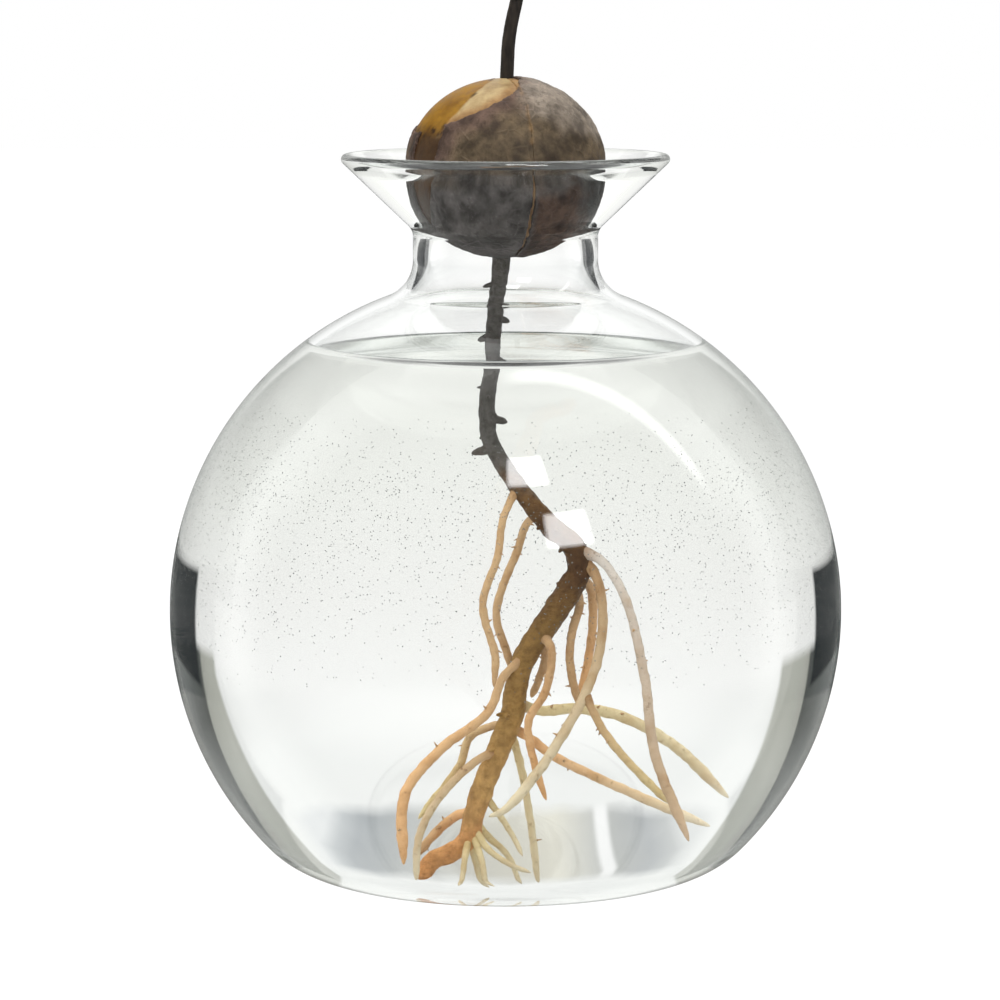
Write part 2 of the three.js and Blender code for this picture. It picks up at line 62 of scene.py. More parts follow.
# Vase
BULB_RADIUS = 64
BULB_CENTRE = 49.7
WALL = 1.6
FLOOR_THICKNESS = 3
FOOT_FILLET = 18
NECK_RADIUS = 17.5
NECK_LENGTH = 4.3
SHOULDER_FILLET = 7.5
THROAT_FILLET = 3
FUNNEL_HEIGHT = 15.6
LIP_RADIUS = 31
LIP_BEAD = 1.0
NECK_EXTRA = 0.6
VASE_SEGMENTS = 192

# Glass. The funnel bends light less, as the photograph hardly shows its sides, but not next to its ends.
GLASS_IOR = 1.5
FUNNEL_IOR = 1.12
FUNNEL_MARGINS = (1.5, 3)
SHOULDER_MARGIN = 5
GRAZING_SLANT = 0.16
GRAZING_ROUGHNESS = 0.02

# Water, which reaches a little into the glass so that no film of air shows between them
AIR_SPACE = 19.4
MENISCUS_HEIGHT = 3.1
MENISCUS_WIDTH = 6
MENISCUS_POWER = 3
WATER_OVERLAP = 0.1
WATER_LINE = 0.3
WATER_IOR = 1.333
# Greys of the painted dark line at the water's edge
LINE_COLOURS = ((0.3, 92, 98, 96), (0.7, 140, 146, 143))

# Air bubbles on the inside of the glass
BUBBLE_COUNT = 5200
BUBBLE_RADII = (0.075, 0.135)
BUBBLE_HEIGHTS = (42, 92)
BUBBLE_PEAK = 78
BUBBLE_AZIMUTHS = (165, 375)
BUBBLE_CLEARANCE = 0.05
BUBBLE_SEED = 11
BUBBLE_COLOURS = ((0.35, 90, 94, 92), (0.65, 145, 149, 145))

# Stone
STONE_RADIUS = 19.1
STONE_HALF_HEIGHT = 17.25
STONE_TOP_POWER = 2
STONE_BOTTOM_POWER = 2.3
COAT_THICKNESS = 0.6
COAT_CLEARANCE = 0.05
CRACK_WIDTHS = (0.66, 0.06)
CRACK_AZIMUTH = 16
POLE_SHARE = 0.9995

# Plant above the stone
SHOOT_DIAMETER = 2.8
SHOOT_TIP_DIAMETER = 2.2
SHOOT_LENGTH = 30
SHOOT_LEAN = 5.4
GAP = 0.3
BUD_LENGTH = 6
BUD_RADIUS = 1.5
BUD_GRIP = 1.3
LEAF_LENGTH = 7
LEAF_WIDTH = 2.6
LEAF_THICKNESS = 0.6
LEAF_TILT = 24
LEAF_PITCH = 4

# Camera: where the photograph was taken from, fitted to the outline of the vase
CAMERA_DISTANCE = 750
CAMERA_HEIGHT = 172.03
CAMERA_PITCH = 7.69
CAMERA_FOCAL_PIXELS = 3970.6
CAMERA_AXIS_PIXEL = 505.5
PHOTO_PIXELS = 1000
SENSOR = 36

# Heights and radii that several pieces share
shoulder_radius = NECK_RADIUS + SHOULDER_FILLET
shoulder_rise = sqrt((BULB_RADIUS + SHOULDER_FILLET) ** 2 - shoulder_radius**2)
shoulder_height = BULB_CENTRE + shoulder_rise
shoulder_angle = atan2(shoulder_rise, shoulder_radius)
throat_radius = NECK_RADIUS + THROAT_FILLET
throat_height = shoulder_height + NECK_LENGTH
lip_height = throat_height + FUNNEL_HEIGHT
water_height = shoulder_height - AIR_SPACE
stone_bottom = min(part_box(f"seed_coat_{side}")[0].z for side in ("left", "right")) / MM
stone_top = max(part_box(f"seed_coat_{side}")[1].z for side in ("left", "right")) / MM
stone_middle = Vector((0, 0, (stone_bottom + stone_top) / 2))


def ease(low, high, value):
    share = min(max((value - low) / (high - low), 0.0), 1.0)
    return share * share * (3 - 2 * share)


def lerp(a, b, share):
    return a + (b - a) * share


def mix(a, b, share):
    return tuple(lerp(x, y, share) for x, y in zip(a, b))


# Meshes

SPLINE_STEPS = 40
ON_AXIS = 1e-6


def show(thing):
    bpy.context.scene.collection.objects.link(thing)


def add_piece(name, vertices, faces, material, body, slot, replaced=()):
    """A smooth mesh given in millimetres, as a piece that rides on a body."""
    mesh = bpy.data.meshes.new(name)
    mesh.from_pydata([Vector(v) * MM for v in vertices], [], faces)
    mesh.update()
    mesh.polygons.foreach_set("use_smooth", [True] * len(mesh.polygons))
    mesh.materials.append(material)
    piece = bpy.data.objects.new(name, mesh)
    show(piece)
    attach(piece, body)
    if replaced:
        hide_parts(*replaced)
    return piece


def weld(piece, distance):
    """Joins the vertices of a pole or a seam, and drops the faces that this leaves without area."""
    merge = piece.modifiers.new("weld", "WELD")
    merge.merge_threshold = distance * MM


def arc(radius, height, size, start, end, steps, growth=0.0):
    """Points of a round stretch of a profile, both ends included. Its size may grow on the way."""
    points = []
    for i in range(steps + 1):
        angle = start + (end - start) * i / steps
        reach = size + growth * (i / steps) ** 2
        points.append((radius + reach * cos(angle), height + reach * sin(angle)))
    return points


def skin(rings):
    """Vertices and faces of a surface between rings of points, of which the ends may be single points."""
    vertices, numbers, faces = [], [], []
    for ring in rings:
        numbers.append(range(len(vertices), len(vertices) + len(ring)))
        vertices += ring
    for low, high in zip(numbers, numbers[1:]):
        count = max(len(low), len(high))
        for k in range(count):
            following = (k + 1) % count
            if len(low) == 1:
                faces.append((low[0], high[following], high[k]))
            elif len(high) == 1:
                faces.append((low[k], low[following], high[0]))
            else:
                faces.append((low[k], low[following], high[following], high[k]))
    return vertices, faces


def lathe(profile, segments):
    """A profile that is turned about the Z axis. It may start and end on the axis."""
    turns = [2 * pi * k / segments for k in range(segments)]
    rings = []
    for radius, height in profile:
        ring = turns[:1] if radius < ON_AXIS else turns
        rings.append([(radius * cos(turn), radius * sin(turn), height) for turn in ring])
    return skin(rings)


def spline(points, count):
    """Evenly spaced points on the centripetal curve through some points."""
    points = [Vector(p) for p in points]
    ends = [2 * points[0] - points[1], *points, 2 * points[-1] - points[-2]]
    dense = []
    for p0, p1, p2, p3 in zip(ends, ends[1:], ends[2:], ends[3:]):
        d0, d1, d2 = (sqrt((b - a).length) for a, b in ((p0, p1), (p1, p2), (p2, p3)))
        t1 = ((p1 - p0) / d0 - (p2 - p0) / (d0 + d1) + (p2 - p1) / d1) * d1
        t2 = ((p2 - p1) / d1 - (p3 - p1) / (d1 + d2) + (p3 - p2) / d2) * d1
        for i in range(SPLINE_STEPS):
            t = i / SPLINE_STEPS
            bend = (3 * (p2 - p1) - 2 * t1 - t2) * t**2 + (2 * (p1 - p2) + t1 + t2) * t**3
            dense.append(p1 + t1 * t + bend)
    dense.append(points[-1])
    lengths = [0.0]
    for a, b in zip(dense, dense[1:]):
        lengths.append(lengths[-1] + (b - a).length)
    even, k = [], 0
    for i in range(count + 1):
        target = lengths[-1] * i / count
        while k < len(dense) - 2 and lengths[k + 1] < target:
            k += 1
        share = (target - lengths[k]) / max(lengths[k + 1] - lengths[k], 1e-9)
        even.append(dense[k].lerp(dense[k + 1], min(share, 1.0)))
    return even


def sweep(points, radii, sides, roughness, grain):
    """A closed tube along points, with a radius at each and lumps of a share of the radius."""
    neighbours = zip(points[:1] + points, points[1:] + points[-1:])
    tangents = [(after - before).normalized() for before, after in neighbours]
    normal = tangents[0].orthogonal().normalized()
    rings = [points[:1]]
    for i, (point, tangent, radius) in enumerate(zip(points, tangents, radii)):
        if i:
            normal = tangents[i - 1].rotation_difference(tangent) @ normal
        side = tangent.cross(normal)
        ring = []
        for k in range(sides):
            turn = 2 * pi * k / sides
            spoke = normal * cos(turn) + side * sin(turn)
            at = point + spoke * radius
            lump = roughness * (noise.noise(at * grain) + 0.5 * noise.noise(at * grain * 2.7))
            ring.append(point + spoke * radius * (1 + lump))
        rings.append(ring)
    return skin([*rings, points[-1:]])


def grid_faces(rows, columns):
    """Quads of a grid, whose rows have one point more than columns."""
    wide = columns + 1
    corners = [row * wide + column for row in range(rows) for column in range(columns)]
    return [(low, low + 1, low + wide + 1, low + wide) for low in corners]


def joined(*meshes):
    """Several vertex and face lists as one."""
    vertices, faces = [], []
    for more, polygons in meshes:
        start = len(vertices)
        vertices += more
        faces += [tuple(index + start for index in polygon) for polygon in polygons]
    return vertices, faces


def rounded(count, diameters, cap):
    """Radii along a tube, from diameters at even steps, that closes in a round cap at both ends."""
    radii = []
    steps = len(diameters) - 1
    for i in range(count + 1):
        low = min(i * steps // count, steps - 1)
        radius = lerp(*diameters[low : low + 2], i * steps / count - low) / 2
        for distance in (i, count - i):
            if distance < cap:
                radius *= sqrt(1 - (1 - (distance + 0.15) / cap) ** 2)
        radii.append(radius)
    return radii


# Materials


class Nodes:
    """Short calls for the nodes of a material or of the world."""

    def __init__(self, tree, place):
        self.tree = tree
        self.nodes = tree.nodes
        self.place = self.make("TexCoord", place)

    def put(self, socket, value):
        """Sets an input to a value, or links it to an output."""
        if isinstance(value, bpy.types.NodeSocket):
            self.tree.links.new(value, socket)
        else:
            socket.default_value = value

    def make(self, kind, output=0, **values):
        """An output of a new node. Small names are its settings and capital ones its inputs."""
        node = self.nodes.new(f"ShaderNode{kind}")
        for name, value in values.items():
            if name.islower():
                setattr(node, name, value)
            else:
                self.put(node.inputs[name.replace("_", " ")], value)
        return node.outputs[output]

    def path(self, name):
        return self.make("LightPath", name)

    def axis(self, name):
        return self.make("SeparateXYZ", name, Vector=self.place)

    def noise(self, scale, detail=3.0, roughness=0.55, stretch=(1, 1, 1)):
        """Noise, with a scale in lumps for each metre."""
        place = self.make("Mapping", Scale=stretch, Vector=self.place)
        return self.make("TexNoise", "Fac", Scale=scale, Detail=detail, Roughness=roughness, Vector=place)

    def cell_edges(self, scale):
        """The distance from the edges of cells."""
        place = {"Scale": scale, "Vector": self.place}
        return self.make("TexVoronoi", "Distance", feature="DISTANCE_TO_EDGE", **place)

    def broad_colour(self):
        """The colour that is stored with the mesh."""
        return self.make("Attribute", "Color", attribute_name="broad_colour")

    def math(self, operation, *values):
        """The operation on two values, and then on the result and each of the others."""
        node = self.nodes.new("ShaderNodeMath")
        node.operation = operation
        for socket, value in zip(node.inputs, values[:2]):
            self.put(socket, value)
        result = node.outputs[0]
        return self.math(operation, result, *values[2:]) if len(values) > 2 else result

    times = partialmethod(math, "MULTIPLY")
    plus = partialmethod(math, "ADD")
    minus = partialmethod(math, "SUBTRACT")
    most = partialmethod(math, "MAXIMUM")
    under = partialmethod(math, "LESS_THAN")
    over = partialmethod(math, "GREATER_THAN")

    def range(self, value, low, high, to_low=0.0, to_high=1.0):
        limits = {"From_Min": low, "From_Max": high, "To_Min": to_low, "To_Max": to_high}
        return self.make("MapRange", "Result", Value=value, **limits)

    def band(self, value, low, high, soft):
        """One between low and high, and zero outside, with soft edges."""
        rising = self.range(value, low - soft, low + soft)
        return self.times(rising, self.range(value, high - soft, high + soft, 1.0, 0.0))

    def ramp(self, value, stops):
        """A colour by value. A stop is a place and three numbers for the screen or four linear ones."""
        node = self.nodes.new("ShaderNodeValToRGB")
        elements = node.color_ramp.elements
        for i, (position, *colour) in enumerate(stops):
            element = elements[i] if i < 2 else elements.new(position)
            element.position = position
            element.color = rgb(*colour) if len(colour) == 3 else colour
        self.put(node.inputs["Fac"], value)
        return node.outputs["Color"]

    def blend(self, share, a, b, kind="MIX"):
        kinds = {"data_type": "RGBA", "blend_type": kind}
        return self.make("Mix", "Result", **kinds, Factor=share, A=a, B=b)

    def tinted(self, colour, tint):
        return self.blend(1.0, colour, (*tint, 1), "MULTIPLY")

    def mixed(self, share, first, second, output):
        """Sends a mix of two shaders to the output."""
        node = self.nodes.new("ShaderNodeMixShader")
        for socket, value in zip(node.inputs, (share, first, second)):
            self.put(socket, value)
        self.put(self.nodes[output].inputs["Surface"], node.outputs["Shader"])


class Shader(Nodes):
    """A material with a Principled shader."""

    def __init__(self, name, **inputs):
        self.material = bpy.data.materials.new(name)
        self.material.use_nodes = True
        super().__init__(self.material.node_tree, "Object")
        self.surface = self.nodes["Principled BSDF"]
        for key, value in inputs.items():
            self.feed(key.replace("_", " "), value)

    def feed(self, name, value):
        self.put(self.surface.inputs[name], value)

    def roughness(self, grain, low, high):
        self.feed("Roughness", self.range(grain, 0.3, 0.7, low, high))

    def bump(self, height, distance, strength):
        bumps = self.make("Bump", "Normal", Strength=strength, Distance=distance * MM, Height=height)
        self.feed("Normal", bumps)

    def mix_surface(self, share, other):
        self.mixed(share, self.surface.outputs["BSDF"], other, "Material Output")

    def hide_in_reflections(self):
        """The inside of the glass doesn't mirror what has this material."""
        self.mix_surface(self.over(self.path("Glossy Depth"), FIRST), self.make("BsdfTransparent"))

    def let_lamps_through(self):
        """Rays from lamps pass straight on, so that what is behind the glass is lit."""
        passing = self.most(self.path("Is Shadow Ray"), self.path("Is Diffuse Ray"))
        self.mix_surface(passing, self.make("BsdfTransparent"))


def clear_look(name, colour, ior):
    return Shader(name, Base_Color=(*colour, 1), Roughness=0.0, IOR=ior, Transmission_Weight=1)


def glass_material():
    """Clear glass, a trace rough where it is seen at a slant, by which the studio knows such rays."""
    look = clear_look("blown_glass", (0.996, 1, 0.999), GLASS_IOR)
    look.bump(look.noise(22, 1.5, 0.4, (1, 1, 0.5)), 0.06, 0.35)
    low, high = throat_height + FUNNEL_MARGINS[0], lip_height - FUNNEL_MARGINS[1]
    funnel = look.band(look.axis("Z"), low * MM, high * MM, 0.8 * MM)
    look.feed("IOR", look.range(funnel, 0.0, 1.0, GLASS_IOR, FUNNEL_IOR))
    low, high = water_height + MENISCUS_HEIGHT, shoulder_height - SHOULDER_MARGIN
    shoulder = look.band(look.axis("Z"), low * MM, high * MM, 0.2 * MM)
    upright = look.minus(1.0, look.most(shoulder, funnel))
    slant = look.over(look.make("LayerWeight", "Facing"), GRAZING_SLANT)
    look.feed("Roughness", look.times(slant, upright, GRAZING_ROUGHNESS))
    look.let_lamps_through()
    return look.material


def water_material():
    look = clear_look("still_water", (0.992, 0.996, 0.985), WATER_IOR)
    look.bump(look.noise(35, 1.0, 0.4), 0.03, 0.2)
    look.let_lamps_through()
    return look.material


def speckled_material(name, scale, detail, colours, **inputs):
    """A plain surface of two colours."""
    look = Shader(name, **inputs)
    look.feed("Base Color", look.ramp(look.noise(scale, detail), colours))
    return look.material


def grained_material(name, gloss, scale, stretch, colours, roughness, bump):
    """One grain gives the colour, the roughness and the bumps."""
    look = Shader(name, Specular_IOR_Level=gloss)
    grain = look.noise(scale, 4.0, 0.6, (1, 1, stretch))
    look.feed("Base Color", look.ramp(grain, colours))
    look.roughness(grain, *roughness)
    look.bump(grain, *bump)
    return look.material


def coat_material(name):
    """Dry skin: its broad colours come with the mesh, and flecks, veins and wrinkles are added here."""
    look = Shader(name, Specular_IOR_Level=0.28)
    broad = look.broad_colour()
    patches = look.noise(260, 5.0, 0.62)
    flecks = look.range(look.noise(1100, 5.0, 0.7, (1, 1, 0.55)), 0.52, 0.68)
    veins = look.range(look.cell_edges(330), 0.0, 0.09, 1.0, 0.0)
    veins = look.times(veins, look.range(look.noise(180, 2.0), 0.45, 0.6))
    dark = look.tinted(broad, (0.5, 0.47, 0.45))
    pale = look.tinted(broad, (1.65, 1.62, 1.6))
    colour = look.blend(look.range(patches, 0.36, 0.66), dark, pale)
    colour = look.blend(look.times(flecks, 0.75), colour, dark)
    look.feed("Base Color", look.blend(look.times(veins, 0.4), colour, pale))
    look.roughness(patches, 0.5, 0.78)
    wrinkles = look.times(look.noise(2200, 3.0), 0.4)
    look.bump(look.plus(patches, wrinkles, look.times(veins, 0.5)), 0.28, 0.8)
    return look.material


def flesh_material():
    """Bare seed flesh, cream where it is fresh and ochre where it has dried."""
    look = Shader("seed_flesh", Specular_IOR_Level=0.35, Subsurface_Weight=0.1)
    look.feed("Subsurface Radius", (0.002, 0.001, 0.0006))
    broad = look.broad_colour()
    cloud = look.noise(330, 5.0, 0.65)
    shade = look.tinted(broad, (0.6, 0.53, 0.44))
    colour = look.blend(look.range(cloud, 0.35, 0.62, 1.0, 0.0), broad, shade)
    specks = look.range(look.noise(1900, 3.0, 0.6), 0.66, 0.72)
    look.feed("Base Color", look.blend(look.times(specks, 0.5), colour, FLESH_SPECKS))
    look.roughness(cloud, 0.38, 0.6)
    look.bump(look.noise(700, 4.0), 0.15, 0.5)
    return look.material


def bark_material():
    """Bark of the taproot, whose colour changes with the height."""
    look = Shader("taproot_bark", Specular_IOR_Level=0.3)
    wander = look.times(look.minus(look.noise(160, 3.0), 0.5), 0.12)
    low, high = BARK_HEIGHTS
    rise = look.range(look.axis("Z"), low * MM, high * MM)
    colour = look.ramp(look.plus(rise, wander), BARK_COLOURS)
    blotches = look.range(look.noise(300, 3.0, 0.6, (1, 1, 0.6)), 0.5, 0.68)
    grain = look.noise(900, 5.0, 0.65)
    dark = look.tinted(colour, (0.42, 0.37, 0.33))
    share = look.times(look.most(look.range(grain, 0.42, 0.7), blotches), 0.75)
    look.feed("Base Color", look.blend(share, colour, dark))
    look.roughness(grain, 0.5, 0.75)
    rings = look.noise(700, 2.0, 0.5, (1, 1, 2.6))
    look.bump(look.plus(grain, rings), 0.5, 0.7)
    return look.material


def root_material():
    """Side roots: their broad colours come with the mesh, and blotches and specks are added here."""
    look = Shader("side_root", Specular_IOR_Level=0.35)
    broad = look.broad_colour()
    blotches = look.range(look.noise(260, 3.0, 0.6), 0.48, 0.7)
    grain = look.noise(1200, 5.0, 0.65)
    warm = look.tinted(broad, (0.74, 0.62, 0.48))
    dark = look.tinted(broad, (0.36, 0.26, 0.18))
    colour = look.blend(look.times(blotches, 0.7), broad, warm)
    specks = look.range(grain, 0.58, 0.7)
    look.feed("Base Color", look.blend(look.times(specks, 0.6), colour, dark))
    look.roughness(grain, 0.45, 0.7)
    look.bump(look.plus(grain, blotches), 0.22, 0.7)
    look.hide_in_reflections()
    return look.material


# Vase and water


def bulb_profile(inset, floor_height):
    fillet = FOOT_FILLET - inset
    ball = BULB_RADIUS - inset
    foot_height = floor_height + fillet
    drop = BULB_CENTRE - foot_height
    foot_radius = sqrt((ball - fillet) ** 2 - drop**2)
    foot_angle = atan2(-drop, foot_radius)
    flat = [(foot_radius * i / 8, floor_height) for i in range(8)]
    foot = arc(foot_radius, foot_height, fillet, -pi / 2, foot_angle, 20)
    return flat + foot + arc(0, BULB_CENTRE, ball, foot_angle, shoulder_angle, 90)[1:]


def neck_profile(inset, bend, extra):
    """The shoulder, neck and throat. The glass is thicker by some extra at the neck."""
    shoulder = SHOULDER_FILLET + inset
    throat = THROAT_FILLET + inset
    turn = pi + shoulder_angle
    low = arc(shoulder_radius, shoulder_height, shoulder, turn, pi, 20, extra)
    high = arc(throat_radius, throat_height, throat, pi - bend, pi, 14, extra)
    return low[1:] + high[::-1]


def glass_vase():
    bead_radius, bead_height = LIP_RADIUS - LIP_BEAD, lip_height - LIP_BEAD
    dx, dz = bead_radius - throat_radius, bead_height - throat_height
    middle = THROAT_FILLET + WALL / 2
    bend = pi - atan2(dz, dx) - acos(middle / hypot(dx, dz))
    outside = bulb_profile(0, 0) + neck_profile(0, bend, 0)
    inside = bulb_profile(WALL, FLOOR_THICKNESS) + neck_profile(WALL, bend, NECK_EXTRA)
    bead = arc(bead_radius, bead_height, LIP_BEAD, -bend, pi - bend, 24)
    mesh = lathe(outside + bead + inside[::-1], VASE_SEGMENTS)
    add_piece("blown_vase", *mesh, glass_material(), "vase", "glass", ["glass_vase"])


def still_water():
    brink_height = water_height + MENISCUS_HEIGHT
    wall = bulb_profile(WALL - WATER_OVERLAP, FLOOR_THICKNESS - WATER_OVERLAP)
    wetted = [p for p in wall if p[1] < brink_height]
    brink = sqrt((BULB_RADIUS - WALL + WATER_OVERLAP) ** 2 - (brink_height - BULB_CENTRE) ** 2)
    curl = []
    for i in range(13):
        share = i / 12
        rise = MENISCUS_HEIGHT * (1 - share) ** MENISCUS_POWER
        curl.append((brink - MENISCUS_WIDTH * share, water_height + rise))
    level = [(curl[-1][0] * (1 - i / 6), water_height) for i in range(1, 7)]
    mesh = lathe(wetted + curl + level, VASE_SEGMENTS)
    add_piece("vase_water", *mesh, water_material(), "water", "water", ["water"])
    water_line(brink - WATER_LINE / 2 - WATER_OVERLAP, brink_height - WATER_LINE / 2)


def water_line(radius, height):
    """A painted dark line where the water clings to the glass: a grey ring that stands in for the dark edge
    which the curved water shows as it bends the light.
    """
    material = speckled_material("water_line", 60, 2.0, LINE_COLOURS, Roughness=0.3)
    mesh = lathe(arc(radius, height, WATER_LINE / 2, 0, 2 * pi, 6), VASE_SEGMENTS)
    weld(add_piece("water_line", *mesh, material, "water", "water"), 0.001)


def bubbles():
    """Small beads of air that cling to the inside of the glass, most of them in the upper half."""
    draw = random.Random(BUBBLE_SEED)
    beads = []
    for _ in range(BUBBLE_COUNT):
        size = draw.uniform(*BUBBLE_RADII)
        height = draw.triangular(*BUBBLE_HEIGHTS, BUBBLE_PEAK)
        turn = radians(draw.uniform(*BUBBLE_AZIMUTHS))
        ball = BULB_RADIUS - WALL - size - BUBBLE_CLEARANCE
        reach = sqrt(ball**2 - (height - BULB_CENTRE) ** 2)
        centre = Vector((reach * cos(turn), reach * sin(turn), height))
        vertices, faces = lathe(arc(0, 0, size, -pi / 2, pi / 2, 3), 5)
        beads.append(([centre + Vector(v) for v in vertices], faces))
    material = speckled_material("air_bubble", 900, 1.0, BUBBLE_COLOURS, Roughness=0.15, IOR=WATER_IOR)
    add_piece("air_bubbles", *joined(*beads), material, "water", "water")


# Stone

SKIN_OLIVE = rgb(83, 71, 54)
SKIN_PLUM = rgb(82, 64, 58)
# Pale of the painted light on the top of the stone
SKIN_PAINTED_LIGHT = rgb(128, 119, 108)
SKIN_GREY = rgb(73, 71, 69)
SKIN_RED = rgb(68, 54, 45)
SKIN_BLACK = rgb(24, 20, 17)
FLESH_CREAM = rgb(174, 152, 110)
FLESH_TAN = rgb(156, 122, 78)
FLESH_OCHRE = rgb(144, 104, 22)
# Dark browns of the painted shade on the lower flesh
FLESH_LOW_SHADE = rgb(72, 50, 25)
FLESH_DEEP_SHADE = rgb(66, 50, 36)
FLESH_DULL = rgb(166, 138, 106)
FLESH_DARK = rgb(48, 30, 14)
FLESH_SPECKS = rgb(92, 56, 24)

# The wedge of bare flesh: a point on the dark line across it, and the way from cream to ochre
WEDGE_POINT = Vector((-10.4, -12.4, 9.1))
WEDGE_WAY = Vector((-0.763, 0.170, 0.624))

# Upper edge of the coat: azimuth, and height over the middle of the stone
COAT_EDGE = (
    (0, 17.1), (60, 17.1), (115, 16.6), (135, 13.6), (152, 10), (172, 7.6), (200, 6.6), (221, 7.4),
    (230, 8.9), (243, 9.9), (255, 11.6), (268, 13.3), (282, 14.9), (300, 16.7), (330, 17.1), (360, 17.1),
)
# Strip where the coat is open down the side: height, first and last azimuth
COAT_STRIP = ((-10.5, 212, 213), (-9, 207, 217), (-4, 203, 223), (2, 203, 226), (8, 204, 228))


def between(table, value):
    """A row of a table, straight between the rows on either side of a value."""
    for low, high in zip(table, table[1:]):
        if value <= high[0]:
            share = max(value - low[0], 0) / (high[0] - low[0])
            return mix(low[1:], high[1:], share)
    return table[-1][1:]


def stone_point(azimuth, latitude, inset):
    """A point on the stone, in millimetres from its middle."""
    power = 2 / (STONE_BOTTOM_POWER if latitude < 0 else STONE_TOP_POWER)
    radius = (STONE_RADIUS - inset) * max(cos(latitude), 0) ** power
    rise = copysign(abs(sin(latitude)) ** power, latitude)
    turn = radians(azimuth)
    return Vector((radius * cos(turn), radius * sin(turn), (STONE_HALF_HEIGHT - inset) * rise))


def lump(point, scale):
    return noise.noise(point * scale)


def across_crack(point):
    """Distance from the crack, positive on its right side."""
    turn = radians(CRACK_AZIMUTH)
    wander = 0.45 * lump(point, 0.28) + 0.18 * lump(point, 1.1)
    return point.x * cos(turn) + point.y * sin(turn) + wander


def coat_cover(point):
    """Above zero where the coat covers the flesh, in millimetres from its torn edge."""
    azimuth = degrees(atan2(point.y, point.x)) % 360
    tear = 0.5 * lump(point, 0.5) + 0.3 * lump(point, 1.7)
    cover = between(COAT_EDGE, azimuth)[0] - point.z + tear
    if point.z < COAT_STRIP[-1][0]:
        first, last = between(COAT_STRIP, point.z)
        outside = max(first - azimuth, azimuth - last)
        reach = hypot(point.x, point.y) * radians(1)
        open_strip = max(outside * reach, COAT_STRIP[0][0] - point.z)
        cover = min(cover, open_strip + 0.6 * tear)
    return cover


def skin_colour(point):
    """Olive over the middle and grey below, with a plum tint by the torn edge, painted light on the top at
    the right and painted shade down the lower right side.
    """
    colour = mix(SKIN_GREY, SKIN_OLIVE, ease(-4, 1.5, point.z + 2 * lump(point, 0.2)))
    plum = ease(6, 0.5, coat_cover(point) + 2 * lump(point, 0.35))
    colour = mix(colour, SKIN_PLUM, 0.75 * plum * ease(-2, 3, point.z))
    # Painted light: the top of the stone on the right is made pale, where the light from above falls on it.
    pale = ease(10, 15, point.z + 0.4 * point.x + 2 * lump(point, 0.3))
    pale *= ease(1, 5, point.x + 1.5 * lump(point, 0.4))
    colour = mix(colour, SKIN_PAINTED_LIGHT, 0.85 * pale)
    spots = ease(0.12, 0.4, noise.noise(point * 0.26 + Vector((3.1, 7.7, 1.3))))
    colour = mix(colour, SKIN_BLACK, 0.3 * spots * ease(7, 1, abs(point.z - 1.5)))
    scar = ease(0.5, 0.2, abs(across_crack(point))) * ease(-0.2, 0.2, lump(point, 0.4))
    colour = mix(colour, FLESH_TAN, 0.35 * scar * ease(2, 5, point.z))
    red = ease(-1, -5, point.z + 2 * lump(point, 0.33))
    red *= ease(0, 1.5, across_crack(point))
    colour = mix(colour, SKIN_RED, red)
    # Painted shade: the lower right side of the stone goes nearly black, on the side away from the light.
    edge = ease(13.6, 15.8, point.x + 0.8 * lump(point, 0.5))
    edge *= ease(3, -1, point.z)
    return mix(colour, SKIN_BLACK, 0.9 * edge)


def flesh_colour(point):
    """Cream on the wedge, ochre beyond the dark line that bounds it, dull in the crack, and darkened towards
    the bottom by painted shade.
    """
    split = WEDGE_WAY.dot(point - WEDGE_POINT) + 0.35 * lump(point, 0.9)
    colour = mix(FLESH_CREAM, FLESH_TAN, ease(2.2, 0.2, coat_cover(point) * -1))
    colour = mix(colour, FLESH_OCHRE, ease(-0.1, 0.25, split))
    line = ease(0.55, 0.1, abs(split - 0.2)) * ease(-0.1, 0.35, lump(point, 0.45))
    colour = mix(colour, FLESH_DARK, 0.8 * line)
    # Painted shade: the flesh darkens towards the bottom of the stone, which sits in shadow inside the
    # funnel.
    colour = mix(colour, FLESH_LOW_SHADE, ease(9, 5, point.z))
    colour = mix(colour, FLESH_DEEP_SHADE, ease(-3, -6, point.z))
    torn = ease(1.1, 0.3, abs(point.z - 6.9 - 0.8 * lump(point, 0.8)))
    torn *= ease(0.1, 0.3, lump(point, 1.3))
    colour = mix(colour, FLESH_DARK, 0.9 * torn)
    dull = ease(1.4, 0.7, abs(across_crack(point))) * ease(15.5, 13.5, point.z)
    return mix(colour, FLESH_DULL, dull)


def paint(piece, colours):
    """Stores the broad colour of each vertex with the mesh."""
    attribute = piece.data.attributes.new("broad_colour", "FLOAT_COLOR", "POINT")
    for value, colour in zip(attribute.data, colours):
        value.color = colour


def paint_stone(piece, colour_of):
    paint(piece, [colour_of(vertex.co / MM - stone_middle) for vertex in piece.data.vertices])


def coat_relief(point):
    wrinkle = 0.16 * lump(point, 0.4) + 0.09 * lump(point, 1.3)
    return wrinkle - 0.16


